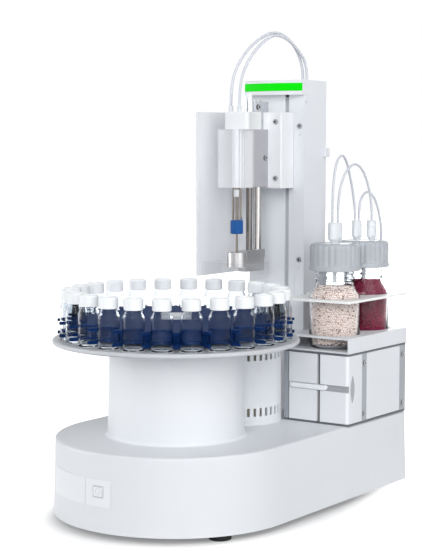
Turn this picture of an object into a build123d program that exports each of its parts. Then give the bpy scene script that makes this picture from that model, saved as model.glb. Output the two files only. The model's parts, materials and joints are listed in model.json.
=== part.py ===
from build123d import *

import os
from math import atan, cos, pi, radians, sin, sqrt, tan

# A carousel autosampler with a lift tower and a two-bottle gas-drying box.
# Lengths are in millimetres: X to the right, Y to the rear, Z up from the table.
# The origin lies under the middle of the base. Most of the machine is laid out from the carousel axis.

os.makedirs("parts", exist_ok=True)

# Shared allowances
overrun = 1.0
fit_gap = 0.1
run_gap = 0.05
move_gap = 0.3
screw_head_radius = 2.9
screw_head_height = 1.4
screw_shank_radius = 1.5
screw_socket_radius = 1.3
screw_socket_depth = 0.9
screw_length = 3.6

# Base
base_width = 258.0
base_length = 396.0
base_height = 78.8
base_draft = 1.745
base_wall = 3.0
base_edge_radius = 3.0
base_corner_radius = 5.0
base_plate_thickness = 2.0
foot_height = 7.2
foot_radius = 11.5
foot_edge_radius = 0.8
nose_foot_inset = 18.0
nose_foot_angle = 30.0
rear_foot_inset = 26.0
nose_radius = base_width / 2
axis_y = nose_radius - base_length / 2
base_rear = base_length / 2
base_top = foot_height + base_height

# Key panel, touch key and electronics in the base
panel_thickness = 0.4
panel_glue = 0.15
panel_bottom = 32.7
panel_height = 27.3
panel_left_angle = 127.0
panel_split_angle = 97.4
panel_right_angle = 83.1
panel_gap = 0.5
key_width = 13.6
key_height = 11.3
key_z = 47.9
key_proud = 0.3
key_travel = 1.0
key_flange_rim = 1.8
key_flange_thickness = 1.6
board_thickness = 1.6
board_width = 150.0
board_length = 110.0
board_offset_y = 110.0
board_standoff = 6.0
board_standoff_radius = 3.0
board_standoff_inset = 8.0
chip_side = 16.0
chip_height = 3.0
capacitor_radius = 6.0
capacitor_height = 14.0
key_board_width = 30.0
key_board_height = 52.0
switch_side = 6.0
inlet_width = 28.0
inlet_height = 20.0
inlet_depth = 26.0
inlet_x = -80.0
inlet_z = 46.0
inlet_recess_wall = 2.5
inlet_recess_depth = 14.0
inlet_pin_width = 2.0
inlet_pin_thickness = 4.0
inlet_pin_pitch = 7.0

# Pedestal
pedestal_radius = 72.1
pedestal_top_radius = 69.9
pedestal_height = 94.0
pedestal_wall = 2.5
pedestal_foot_radius = 3.0
pedestal_hole_radius = 34.0
pedestal_top = base_top + pedestal_height

# Carousel
disc_radius = 129.0
disc_bottom = 183.0
disc_thickness = 4.8
disc_edge_radius = 2.0
station_count = 24
station_inset = 19.0
station_radius = disc_radius - station_inset
hub_column_radius = 12.0
hub_flange_radius = 32.0
hub_flange_thickness = 2.4
hub_shaft_radius = 8.0
hub_shaft_tail = 2.0
hub_knob_radius = 16.0
hub_knob_height = 4.0
disc_top = disc_bottom + disc_thickness

# Rack: two star wheels
star_tip_inset = 5.4
star_mouth_lap = 4.0
star_radius = disc_radius - star_tip_inset
star_mouth_radius = station_radius + star_mouth_lap
star_tip_width = 1.5
star_bore_radius = 12.2
star_wall_gap = 3.0
star_wall_thickness = 3.0
lower_star_bottom = 192.1
lower_star_thickness = 3.2
upper_star_bottom = 205.2
upper_star_thickness = 2.8
star_post_radius = 4.0
star_post_count = 8
star_post_inset = 26.0
star_post_circle = station_radius - star_post_inset

# Vials
vial_radius = 11.0
vial_wall = 1.0
vial_shoulder_z = 221.0
vial_neck_z = 226.0
vial_neck_radius = 8.3
vial_rim_z = 236.0
vial_clearance = 0.3
vial_corner_radius = 1.5
vial_cap_radius = 9.55
vial_cap_bottom = 228.0
vial_cap_top = 239.5
vial_cap_top_wall = 1.5
vial_cap_edge_radius = 1.2
vial_aperture_radius = 5.6
septum_hole_radius = 1.6

# Carousel drive
gear_module = 1.25
hub_teeth = 48
pinion_teeth = 16
addendum_share = 0.8
dedendum_share = 1.1
tooth_backlash = 0.4
pressure_angle = 20.0
flank_steps = 4
flank_point_gap = 0.005
gear_face = 9.0
pinion_face = 8.0
drive_plate_top = 150.0
drive_plate_thickness = 4.0
drive_plate_radius = 62.0
drive_post_radius = 4.0
drive_post_circle = 52.0
drive_post_angles = (30, 150, 225, 315)
gear_lift = 3.0
bearing_outer_radius = 13.0
bearing_height = 8.0
bearing_boss_radius = 17.0
bearing_boss_depth = 28.0
motor_side = 42.3
motor_height = 40.0
motor_corner = 4.0
motor_pilot_radius = 11.0
motor_pilot_height = 2.0
motor_shaft_radius = 2.5
motor_shaft_depth = 16.0

# Needle station: the offsets of the oven, tower and head count its place as this one
needle_offset = 110.0

# Oven under the needle station
oven_radius = 49.6
oven_wall = 2.0
oven_mouth_radius = 12.8
oven_block_radius = 20.0
oven_block_bottom = 92.0
oven_block_top = 176.0
oven_well_radius = 11.8
oven_well_bottom = 116.0
insulation_radius = 32.0
vent_width = 3.0
vent_upper_bottom = 156.3
vent_upper_height = 6.3
vent_lower_bottom = 95.5
vent_lower_height = 9.0
vent_count = 12
vent_start_angle = -48.5
vent_pitch_angle = 8.5

# Tower
tower_width = 74.0
tower_front_offset = 188.5
tower_depth = 46.0
tower_body_top = 443.3
tower_wall = 2.5
tower_rear_thickness = 3.0
slot_left = 11.2
slot_right = 16.0
slot_bottom = 171.0
jamb_right = 22.6
jamb_depth = 0.9
tower_screw_x = 30.6
tower_screw_drop = 34.8
tower_screw_heights = (tower_body_top - tower_screw_drop, 258.4)
keyhole_radius = 1.6
keyhole_drop = 9.0
recess_bottom = 216.4
recess_top = 240.7
recess_left = 24.0
recess_right = 36.3
recess_depth = 0.6
side_hole_radius = 1.1
side_hole_inset = 4.2
side_hole_drop = 8.5
side_hole_z = tower_body_top - side_hole_drop
tab_bottom = 373.5
tab_height = 10.3
tab_depth = 6.0
tab_proud = 3.6
cap_height = 16.2
cap_bulge = 6.0
cap_forward = 6.0
cap_edge_radius = 1.0
light_lift = 4.3
light_bottom = tower_body_top + light_lift
light_height = 8.6
light_depth = 2.0
light_proud = 0.3
hose_port_radius = 2.4
hose_port_height = 1.6
hose_port_offset = 212.0
hose_port_xs = (19.6, 25.0)

# Lift drive inside the tower
rail_x = 13.6
rail_width = 12.0
rail_depth = 8.0
rail_bottom = 126.0
rail_drop = 5.3
rail_top = tower_body_top - rail_drop
screw_x = -12.0
lead_radius = 4.0
lead_bottom = 104.0
lead_drop = 7.3
lead_top = tower_body_top - lead_drop
lift_motor_side = 35.2
lift_motor_height = 36.0
lead_inset = 22.5
coupling_radius = 8.0
coupling_height = 18.0
coupling_lift = 2.0
top_bearing_half_width = 9.0
top_bearing_drop = 15.3
top_bearing_bottom = tower_body_top - top_bearing_drop
top_bearing_height = 8.0
carriage_half_width = 13.0
carriage_front_wall = 8.0
carriage_rear_gap = 1.5
carriage_drop = 33.3
carriage_height = 60.0
carriage_top = tower_body_top - carriage_drop
carriage_bottom = carriage_top - carriage_height
nut_lift = 24.0
nut_bottom = carriage_bottom + nut_lift
nut_height = 16.0
nut_rim = 5.0
web_thickness = 3.8

# Side shield and clear guard
shield_thickness = 2.7
shield_front_offset = 88.4
shield_overlap = 12.0
shield_bottom = 243.6
shield_drop = 20.0
shield_screw_inset = 23.3
shield_top = tower_body_top - shield_drop
shield_screw_heights = (shield_top - shield_screw_inset, 268.0)
guard_wall = 2.5
guard_bottom = 241.3
guard_top = 258.9
guard_front_offset = 94.7
guard_right_x = 22.5
guard_right_rear_offset = 139.8
guard_left_rear_offset = 130.0
guard_corner_radius = 2.0

# Lift head
plate_left = -15.8
plate_right = 23.0
plate_front_offset = 162.7
plate_thickness = 25.2
arm_drop = 19.8
arm_top = tower_body_top - arm_drop
plate_height = 84.3
plate_bottom = arm_top - plate_height
plate_corner_radius = 1.5
arm_half_width = 15.8
arm_front_offset = 106.4
arm_corner_radius = 4.0
arm_thickness = 18.9
arm_bottom = arm_top - arm_thickness
taper_start_offset = 112.0
taper_end_offset = 140.0
web_left = -9.0
web_right = 6.0
web_front_offset = 116.4
cover_height = 63.6
web_bottom = arm_bottom - cover_height
plate_screw_x = 15.5
upper_screw_drop = 10.4
lower_screw_lift = 11.1
plate_screw_heights = (arm_top - upper_screw_drop, plate_bottom + lower_screw_lift)
web_screw_offset = 156.3
web_screw_lift = 31.9
web_screw_z = web_bottom + web_screw_lift
cover_half_width = 18.0
cover_front_offset = 97.9
cover_wall = 1.5
cover_edge_radius = 1.5
tube_radius = 3.4
stay_x = 4.9
stay_radius = 1.2
ferrule_radius = 3.6
ferrule_drop = 2.0
ferrule_height = 8.0
ferrule_top = web_bottom - ferrule_drop
ferrule_bottom = ferrule_top - ferrule_height
holder_radius = 1.9
holder_bottom = 298.0
needle_radius = 1.25
needle_tip_z = 258.0
needle_point_height = 3.0
knob_radius = 6.95
knob_bottom = 290.5
knob_top = 305.4
knob_edge_radius = 0.8
barb_radius = 2.6
barb_height = 6.5
barb_top = arm_top + barb_height
left_barb_x = -8.0
right_barb_x = 3.3

# Hold-down foot and its guide rods
front_rod_offset = 133.5
rear_rod_offset = 149.7
front_rod_radius = 3.4
rear_rod_radius = 4.5
bush_wall = 2.0
bush_rise = 12.5
rod_cap_height = 7.5
rear_rod_rise = 13.0
front_bush_top = arm_top + bush_rise
rod_cap_top = front_bush_top + rod_cap_height
rear_rod_top = arm_top + rear_rod_rise
foot_ring_radius = 10.55
foot_bore_radius = 7.5
foot_ring_bottom = 254.1
foot_ring_top = 270.2
foot_block_half_width = 5.4
foot_block_front_offset = 120.3
foot_block_rear_offset = 155.5
foot_block_bottom = 248.0
foot_block_top = 271.5
foot_step_height = 9.0
foot_step_proud = 1.2
rod_seat_depth = 12.0
clamp_front_offset = 136.4
clamp_rear_offset = 162.5
clamp_left = -7.0
clamp_rise = 11.8
clamp_top = arm_top + clamp_rise
clamp_screw_offset = 143.0
clamp_screw_rise = 5.6
clamp_screw_z = arm_top + clamp_screw_rise

# Gas-drying box
box_left = 46.0
box_right = 128.0
box_front_offset = 135.3
box_rear_offset = 261.4
box_bottom = 86.0
box_top = 164.2
box_sheet = 2.0
box_post_width = 5.4
box_post_depth = 6.0
box_corner_radius = 4.0
side_post_depth = 8.0
mid_post_front_offset = 164.6
mid_post_rear_offset = 174.5
rear_post_front_offset = 248.6
cover_left = 92.5
cover_thickness = 4.0
pillar_left = 84.0
pillar_right = 96.0
pillar_depth = 3.0
groove_bottom = 122.5
groove_height = 6.9
groove_depth = 2.3
leaf_front_offset = 140.6
leaf_rear_offset = 149.7
leaf_bottom = 109.2
leaf_top = 140.7
leaf_depth = 1.0
side_panel_thickness = 3.0
door_right = 88.5
door_thickness = 4.0
door_pin_radius = 1.2
door_pin_length = 1.6
handle_left = 56.4
handle_right = 101.5
handle_height = 5.4
handle_proud = 2.5
box_screw_heights = (151.5, 95.9)
pump_half_width = 24.0
pump_length = 66.0
pump_front_offset = 176.0
pump_base_height = 22.0
pump_motor_radius = 17.0

# Bottles, their tray and retaining plate
tray_bottom_thickness = 1.8
tray_top = 181.0
tray_front_offset = 136.2
tray_rear_offset = 264.0
bottle_hole_clearance = 0.6
retainer_bottom = 218.3
retainer_thickness = 2.7
retainer_front_offset = 135.5
retainer_tab_margin = 6.0
retainer_corner_radius = 2.0
gas_port_x = 68.5
gas_port_offset = 260.5
gas_port_radius = 3.0
gas_port_height = 8.0
bottle_x = 88.4
bottle_offsets = (171.4, 234.5)
bottle_radius = 28.0
bottle_wall = 2.0
bottle_corner_radius = 4.0
bottle_shoulder_z = 223.0
bottle_neck_z = 234.0
bottle_neck_radius = 21.0
bottle_rim_z = 275.0
shoulder_share = 0.55
bead_clearance = 0.1
bead_crown = 2.5
cap_bottom = 250.8
cap_top = 280.2
cap_radius = 27.5
cap_skirt_radius = 28.5
cap_skirt_height = 5.0
cap_wall = 3.0
cap_top_wall = 2.7
cap_bore_radius = 17.0
cap_rib_count = 24
cap_groove_depth = 0.8
cap_groove_radius = 2.6
insert_flange_radius = 20.0
insert_flange_height = 2.0
front_nut_radius = 8.0
rear_nut_radius = 5.5
nut_top = 303.0
nut_stem_height = 5.0
nut_stem_share = 0.62
rear_nut_places = ((81.7, 229.6), (95.1, 239.4))
dip_tube_radius = 2.2
dip_tube_bottom = 238.0

# Hoses and tubes
hose_radius = 1.6
gas_tube_radius = 1.35
bend_share = 0.45

needle_y = axis_y + station_radius
head_y = needle_y - needle_offset
tower_left = -tower_width / 2
tower_right = tower_width / 2
tower_front = head_y + tower_front_offset
tower_rear = tower_front + tower_depth
tower_inner_rear = tower_rear - tower_rear_thickness
cap_top_z = tower_body_top + cap_height
shield_screw_y = tower_front + shield_overlap / 2
arc_share = 1 - sqrt(1 / 2)
centred_low = (Align.CENTER, Align.CENTER, Align.MIN)


def block(x, y, z, mode=Mode.ADD):
    """A box between two places along each axis."""
    with Locations(((x[0] + x[1]) / 2, (y[0] + y[1]) / 2, z[0])):
        Box(x[1] - x[0], y[1] - y[0], z[1] - z[0], align=centred_low, mode=mode)


def post(centre, radius, z, mode=Mode.ADD):
    """An upright cylinder, or a bore, between two heights."""
    with Locations((centre[0], centre[1], z[0])):
        Cylinder(radius, z[1] - z[0], align=centred_low, mode=mode)


def across(x, y, z, radius, mode=Mode.ADD):
    """A cylinder along X between two places."""
    with Locations((x[0], y, z)):
        Cylinder(radius, x[1] - x[0], rotation=(0, 90, 0), align=centred_low, mode=mode)


def along(x, y, z, radius, mode=Mode.ADD):
    """A cylinder along Y between two places."""
    with Locations((x, y[0], z)):
        Cylinder(radius, y[1] - y[0], rotation=(-90, 0, 0), align=centred_low, mode=mode)


def write(piece, name):
    """Labels a finished piece and writes its own file."""
    piece.part.label = name
    export_step(piece.part, f"parts/{name}.step")


def base_outline(inset):
    """The base seen from above: a round nose in front and two small corners behind."""
    half = nose_radius - inset
    rear = base_rear - inset
    corner = base_corner_radius - min(inset, base_corner_radius / 2)
    with BuildLine() as line:
        FilletPolyline((half, axis_y), (half, rear), (-half, rear), (-half, axis_y), radius=corner)
        ThreePointArc((-half, axis_y), (0, axis_y - half), (half, axis_y))
    make_face(line.edges())


def upright_profile(centre_y):
    """The upright plane through a vertical axis: local X is the radius and local Y the height."""
    return Plane.XZ.offset(-centre_y)


def upright_axis(x, y):
    """A vertical axis."""
    return Axis((x, y, 0), (0, 0, 1))


def gear_outline(teeth):
    """An involute gear's outline, with a tooth centred on local +X."""
    pitch = gear_module * teeth / 2
    base = pitch * cos(radians(pressure_angle))
    tip = pitch + gear_module * addendum_share
    root = pitch - gear_module * dedendum_share
    half_at_pitch = pi / (2 * teeth) - tooth_backlash / (4 * pitch)

    def involute(radius):
        """The involute function at a radius, zero inside the base circle."""
        turn = sqrt(max(radius * radius / (base * base) - 1, 0))
        return turn - atan(turn)

    def half_angle(radius):
        """Half of the tooth's angle at a radius."""
        return half_at_pitch + involute(pitch) - involute(radius)

    start = max(base, root)
    radii = [root] + [start + (tip - start) * step / flank_steps for step in range(flank_steps + 1)]
    points = []
    for tooth in range(teeth):
        middle = 2 * pi * tooth / teeth
        flank = [(radius, half_angle(max(radius, start))) for radius in radii]
        for radius, angle in flank:
            points.append((radius * cos(middle - angle), radius * sin(middle - angle)))
        for radius, angle in reversed(flank):
            points.append((radius * cos(middle + angle), radius * sin(middle + angle)))
    kept = [points[0]]
    for point in points[1:]:
        if (Vector(*point) - Vector(*kept[-1])).length > flank_point_gap:
            kept.append(point)
    with BuildLine() as line:
        Polyline(*kept, close=True)
    make_face(line.edges())


# Base housing: a drafted shell, open below, with openings for the touch key and the power inlet
key_y = axis_y - nose_radius + (key_z - foot_height) * tan(radians(base_draft))
key_inner_y = key_y + base_wall
with BuildPart() as base_housing:
    with BuildSketch(Plane.XY.offset(foot_height)):
        base_outline(0)
    extrude(amount=base_height, taper=base_draft)
    fillet(base_housing.edges().group_by(Axis.Z)[-1], radius=base_edge_radius)
    with BuildSketch(Plane.XY.offset(foot_height)):
        base_outline(base_wall)
    extrude(amount=base_height - base_wall, taper=base_draft, mode=Mode.SUBTRACT)
    block(
        (-key_width / 2 - move_gap, key_width / 2 + move_gap),
        (axis_y - nose_radius - overrun, key_inner_y + base_wall),
        (key_z - key_height / 2 - move_gap, key_z + key_height / 2 + move_gap),
        mode=Mode.SUBTRACT,
    )
    block(
        (inlet_x - inlet_width / 2 - fit_gap, inlet_x + inlet_width / 2 + fit_gap),
        (base_rear - 3 * base_wall, base_rear + overrun),
        (inlet_z - inlet_height / 2 - fit_gap, inlet_z + inlet_height / 2 + fit_gap),
        mode=Mode.SUBTRACT,
    )
write(base_housing, "base_housing")

with BuildPart() as base_plate:
    with BuildSketch(Plane.XY.offset(foot_height)):
        base_outline(base_wall + move_gap)
    extrude(amount=base_plate_thickness)
write(base_plate, "base_plate")

nose_foot_circle = nose_radius - nose_foot_inset
nose_foot_x = nose_foot_circle * cos(radians(nose_foot_angle))
nose_foot_y = axis_y - nose_foot_circle * sin(radians(nose_foot_angle))
foot_places = [(side * nose_foot_x, nose_foot_y) for side in (-1, 1)]
foot_places += [(side * (nose_radius - rear_foot_inset), base_rear - rear_foot_inset) for side in (-1, 1)]
with BuildPart() as rubber_feet:
    for place in foot_places:
        post(place, foot_radius, (0, foot_height))
    chamfer(rubber_feet.edges().group_by(Axis.Z)[0], length=foot_edge_radius)
write(rubber_feet, "rubber_feet")


def panel_sector(first_angle, last_angle):
    """A thin label that follows the front of the base between two angles, clockwise from +X."""
    with BuildPart() as label:
        with BuildSketch(Plane.XY.offset(foot_height)):
            base_outline(-panel_thickness)
        extrude(amount=base_height, taper=base_draft)
        with BuildSketch(Plane.XY.offset(foot_height)):
            base_outline(-panel_glue)
        extrude(amount=base_height, taper=base_draft, mode=Mode.SUBTRACT)
        block(
            (nose_radius * cos(radians(last_angle)), nose_radius * cos(radians(first_angle))),
            (axis_y - base_width, axis_y),
            (panel_bottom, panel_bottom + panel_height),
            mode=Mode.INTERSECT,
        )
        block(
            (-key_width / 2 - move_gap, key_width / 2 + move_gap),
            (axis_y - base_width, axis_y),
            (key_z - key_height / 2 - move_gap, key_z + key_height / 2 + move_gap),
            mode=Mode.SUBTRACT,
        )
    return label.part


panel_gap_angle = panel_gap / nose_radius * 180 / pi
with BuildPart() as label_panel:
    add(panel_sector(panel_right_angle, panel_split_angle))
    add(panel_sector(panel_split_angle + panel_gap_angle, panel_left_angle))
write(label_panel, "label_panel")

key_front = key_y - panel_thickness - key_proud
flange_width = key_width + 2 * key_flange_rim
flange_front = key_inner_y + flange_width**2 / (8 * (nose_radius - base_wall)) + move_gap
with BuildPart() as touch_key:
    block(
        (-key_width / 2, key_width / 2),
        (key_front, flange_front + key_flange_thickness),
        (key_z - key_height / 2, key_z + key_height / 2),
    )
    block(
        (-key_width / 2 - key_flange_rim, key_width / 2 + key_flange_rim),
        (flange_front, flange_front + key_flange_thickness),
        (key_z - key_height / 2 - key_flange_rim, key_z + key_height / 2 + key_flange_rim),
    )
write(touch_key, "touch_key")

plate_top_z = foot_height + base_plate_thickness
board_y = axis_y + board_offset_y
standoff_x = board_width / 2 - board_standoff_inset
standoff_y = board_length / 2 - board_standoff_inset
switch_front = flange_front + key_flange_thickness + key_travel + move_gap
with BuildPart() as control_board:
    block(
        (-board_width / 2, board_width / 2),
        (board_y - board_length / 2, board_y + board_length / 2),
        (plate_top_z + board_standoff, plate_top_z + board_standoff + board_thickness),
    )
    for side in (-1, 1):
        for end in (-1, 1):
            post(
                (side * standoff_x, board_y + end * standoff_y),
                board_standoff_radius,
                (plate_top_z, plate_top_z + board_standoff),
            )
    board_top = plate_top_z + board_standoff + board_thickness
    with Locations((-board_width / 4, board_y, board_top), (0, board_y, board_top)):
        Box(chip_side, chip_side, chip_height, align=centred_low)
    for y in (board_y, board_y + 2 * chip_side):
        post((board_width / 4, y), capacitor_radius, (board_top, board_top + capacitor_height))
    block(
        (-key_board_width / 2, key_board_width / 2),
        (switch_front + switch_side, switch_front + switch_side + board_thickness),
        (plate_top_z, plate_top_z + key_board_height),
    )
    block(
        (-switch_side / 2, switch_side / 2),
        (switch_front, switch_front + switch_side),
        (key_z - switch_side / 2, key_z + switch_side / 2),
    )
write(control_board, "control_board")

inlet_rear = base_rear - (inlet_z + inlet_height / 2 - foot_height) * tan(radians(base_draft))
with BuildPart() as power_inlet:
    block(
        (inlet_x - inlet_width / 2, inlet_x + inlet_width / 2),
        (inlet_rear - inlet_depth, inlet_rear),
        (inlet_z - inlet_height / 2, inlet_z + inlet_height / 2),
    )
    block(
        (inlet_x - inlet_width / 2 + inlet_recess_wall, inlet_x + inlet_width / 2 - inlet_recess_wall),
        (inlet_rear - inlet_recess_depth, inlet_rear + overrun),
        (inlet_z - inlet_height / 2 + inlet_recess_wall, inlet_z + inlet_height / 2 - inlet_recess_wall),
        mode=Mode.SUBTRACT,
    )
    for step in (-1, 0, 1):
        pin_x = inlet_x + step * inlet_pin_pitch
        block(
            (pin_x - inlet_pin_width / 2, pin_x + inlet_pin_width / 2),
            (inlet_rear - inlet_depth, inlet_rear - inlet_recess_wall),
            (inlet_z - inlet_pin_thickness / 2, inlet_z + inlet_pin_thickness / 2),
        )
write(power_inlet, "power_inlet")

# Pedestal: a slightly tapered drum with a flared foot, a closed rim on top and a wide hole for the hub
with BuildPart() as pedestal_shell:
    with BuildSketch(upright_profile(axis_y)):
        with BuildLine():
            Line(
                (pedestal_radius - pedestal_wall, base_top),
                (pedestal_radius + pedestal_foot_radius, base_top),
            )
            flare = pedestal_foot_radius * arc_share
            ThreePointArc(
                (pedestal_radius + pedestal_foot_radius, base_top),
                (pedestal_radius + flare, base_top + flare),
                (pedestal_radius, base_top + pedestal_foot_radius),
            )
            Polyline(
                (pedestal_radius, base_top + pedestal_foot_radius),
                (pedestal_top_radius, pedestal_top),
                (pedestal_hole_radius, pedestal_top),
                (pedestal_hole_radius, pedestal_top - pedestal_wall),
                (pedestal_top_radius - pedestal_wall, pedestal_top - pedestal_wall),
                (pedestal_radius - pedestal_wall, base_top),
            )
        make_face()
    revolve(axis=upright_axis(0, axis_y))
write(pedestal_shell, "pedestal_shell")

# Drive bracket: a plate on posts, with the bearing boss below it and the motor hung from it
gear_distance = gear_module * (hub_teeth + pinion_teeth) / 2
pinion_y = axis_y - gear_distance
drive_plate_bottom = drive_plate_top - drive_plate_thickness
with BuildPart() as drive_bracket:
    post((0, axis_y), drive_plate_radius, (drive_plate_bottom, drive_plate_top))
    post((0, axis_y), bearing_boss_radius, (drive_plate_top - bearing_boss_depth, drive_plate_bottom))
    post(
        (0, axis_y),
        bearing_outer_radius + fit_gap,
        (base_top, drive_plate_top + overrun),
        mode=Mode.SUBTRACT,
    )
    post(
        (0, pinion_y),
        motor_pilot_radius + fit_gap,
        (drive_plate_bottom - overrun, drive_plate_top + overrun),
        mode=Mode.SUBTRACT,
    )
    for angle in drive_post_angles:
        place = (drive_post_circle * cos(radians(angle)), axis_y + drive_post_circle * sin(radians(angle)))
        post(place, drive_post_radius, (base_top, drive_plate_bottom))
write(drive_bracket, "drive_bracket")

with BuildPart() as carousel_bearing:
    for bottom in (drive_plate_top - bearing_height, drive_plate_top - bearing_boss_depth):
        post((0, axis_y), bearing_outer_radius, (bottom, bottom + bearing_height))
    post((0, axis_y), hub_shaft_radius + run_gap, (base_top, drive_plate_top + overrun), mode=Mode.SUBTRACT)
write(carousel_bearing, "carousel_bearing")

with BuildPart() as carousel_motor:
    with BuildSketch(Plane.XY.offset(drive_plate_bottom - motor_height)):
        with Locations((0, pinion_y)):
            RectangleRounded(motor_side, motor_side, motor_corner)
    extrude(amount=motor_height)
    post((0, pinion_y), motor_pilot_radius, (drive_plate_bottom, drive_plate_bottom + motor_pilot_height))
    post(
        (0, pinion_y),
        motor_shaft_radius + run_gap,
        (drive_plate_bottom - motor_shaft_depth - overrun, drive_plate_top),
        mode=Mode.SUBTRACT,
    )
write(carousel_motor, "carousel_motor")

gear_bottom = drive_plate_top + gear_lift


def turned_plane(x, y, z, angle):
    """A level plane whose local X points at an angle from +X."""
    return Plane((x, y, z), x_dir=(cos(radians(angle)), sin(radians(angle)), 0))


with BuildPart() as drive_pinion:
    with BuildSketch(turned_plane(0, pinion_y, gear_bottom, 90 + 180 / pinion_teeth)):
        gear_outline(pinion_teeth)
    extrude(amount=pinion_face)
    post(
        (0, pinion_y),
        motor_shaft_radius,
        (drive_plate_bottom - motor_shaft_depth, gear_bottom + pinion_face + motor_shaft_radius),
    )
write(drive_pinion, "drive_pinion")

# Hub: shaft in the bearings, gear, flange under the disc and column through the rack
upper_star_top = upper_star_bottom + upper_star_thickness
shaft_bottom = drive_plate_top - bearing_boss_depth - hub_shaft_tail
with BuildPart() as carousel_hub:
    post((0, axis_y), hub_shaft_radius, (shaft_bottom, disc_bottom))
    with BuildSketch(turned_plane(0, axis_y, gear_bottom - (gear_face - pinion_face) / 2, 270)):
        gear_outline(hub_teeth)
    extrude(amount=gear_face)
    post((0, axis_y), hub_flange_radius, (disc_bottom - hub_flange_thickness, disc_bottom))
    post((0, axis_y), hub_column_radius, (disc_bottom, upper_star_top))
    post((0, axis_y), hub_knob_radius, (upper_star_top, upper_star_top + hub_knob_height))
write(carousel_hub, "carousel_hub")


def stations(radius):
    """The places of all vial stations, the first one under the needle."""
    return PolarLocations(radius, station_count, start_angle=90, angular_range=360)


with BuildPart() as carousel_disc:
    with BuildSketch(Plane((0, axis_y, disc_bottom))):
        Circle(disc_radius)
        with stations(station_radius):
            Circle(vial_radius + vial_clearance, mode=Mode.SUBTRACT)
        Circle(hub_column_radius + fit_gap, mode=Mode.SUBTRACT)
    extrude(amount=disc_thickness)
    rims = carousel_disc.edges().filter_by(GeomType.CIRCLE).sort_by(SortBy.RADIUS)[-2:]
    fillet(rims, radius=disc_edge_radius)
write(carousel_disc, "carousel_disc")


def star_outline():
    """One star wheel seen from above: round pockets that open outwards between narrow tips."""
    Circle(star_radius)
    pocket = vial_radius + vial_clearance
    half_mouth = sqrt(pocket**2 - (star_mouth_radius - station_radius) ** 2)
    half_tip = star_radius * sin(pi / station_count) - star_tip_width / 2
    flare = (half_tip - half_mouth) / (star_radius - star_mouth_radius)
    mouth_end = star_radius + star_tip_width
    with stations(station_radius):
        Circle(pocket, mode=Mode.SUBTRACT)
    with BuildLine() as mouth:
        Polyline(
            (star_mouth_radius, -half_mouth),
            (mouth_end, -half_mouth - flare * (mouth_end - star_mouth_radius)),
            (mouth_end, half_mouth + flare * (mouth_end - star_mouth_radius)),
            (star_mouth_radius, half_mouth),
            close=True,
        )
    opening = make_face(mouth.edges(), mode=Mode.PRIVATE)
    with stations(0):
        add(opening, mode=Mode.SUBTRACT)
    Circle(star_bore_radius, mode=Mode.SUBTRACT)


star_wall_radius = station_radius - vial_radius - star_wall_gap
with BuildPart() as rack_lower_star:
    with BuildSketch(Plane((0, axis_y, lower_star_bottom))):
        star_outline()
    extrude(amount=lower_star_thickness)
    with BuildSketch(Plane((0, axis_y, disc_top))):
        with PolarLocations(star_post_circle, star_post_count):
            Circle(star_post_radius)
    extrude(amount=upper_star_bottom - disc_top)
    with BuildSketch(Plane((0, axis_y, lower_star_bottom))):
        Circle(star_wall_radius)
        Circle(star_wall_radius - star_wall_thickness, mode=Mode.SUBTRACT)
    extrude(amount=upper_star_bottom - lower_star_bottom)
write(rack_lower_star, "rack_lower_star")

with BuildPart() as rack_upper_star:
    with BuildSketch(Plane((0, axis_y, upper_star_bottom))):
        star_outline()
    extrude(amount=upper_star_thickness)
write(rack_upper_star, "rack_upper_star")


def spun(points, corner_radius=0):
    """A solid turned from a closed outline of radius and height, standing at the origin."""
    with BuildPart() as turned:
        with BuildSketch(Plane.XZ):
            with BuildLine():
                Polyline(*points, close=True)
            make_face()
        revolve(axis=Axis.Z)
        if corner_radius:
            outer = turned.edges().filter_by(GeomType.CIRCLE).group_by(Axis.Z)[0].sort_by(SortBy.RADIUS)[-1]
            fillet(outer, radius=corner_radius)
    return turned.part


def at_stations(solid):
    """Copies of a solid at every vial station."""
    with Locations((0, axis_y, 0)):
        with stations(station_radius):
            add(solid)


inner_radius = vial_radius - vial_wall
neck_inner = vial_neck_radius - vial_wall
vial_body = spun(
    [
        (0, disc_top),
        (vial_radius, disc_top),
        (vial_radius, vial_shoulder_z),
        (vial_neck_radius, vial_neck_z),
        (vial_neck_radius, vial_rim_z),
        (neck_inner, vial_rim_z),
        (neck_inner, vial_neck_z),
        (inner_radius, vial_shoulder_z - vial_wall),
        (inner_radius, disc_top + 2 * vial_wall),
        (0, disc_top + 2 * vial_wall),
    ],
    vial_corner_radius,
)
with BuildPart() as vials:
    at_stations(vial_body)
write(vials, "vials")

septum_top = vial_cap_top - vial_cap_top_wall
cap_inner = vial_neck_radius + fit_gap
vial_cap_body = spun(
    [
        (cap_inner, vial_cap_bottom),
        (vial_cap_radius, vial_cap_bottom),
        (vial_cap_radius, vial_cap_top - vial_cap_edge_radius),
        (vial_cap_radius - vial_cap_edge_radius, vial_cap_top),
        (vial_aperture_radius, vial_cap_top),
        (vial_aperture_radius, septum_top),
        (cap_inner, septum_top),
    ]
)
with BuildPart() as vial_caps:
    at_stations(vial_cap_body)
write(vial_caps, "vial_caps")

septum_body = spun(
    [
        (septum_hole_radius, vial_rim_z),
        (vial_neck_radius, vial_rim_z),
        (vial_neck_radius, septum_top),
        (septum_hole_radius, septum_top),
    ]
)
with BuildPart() as septa:
    at_stations(septum_body)
write(septa, "septa")

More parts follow.
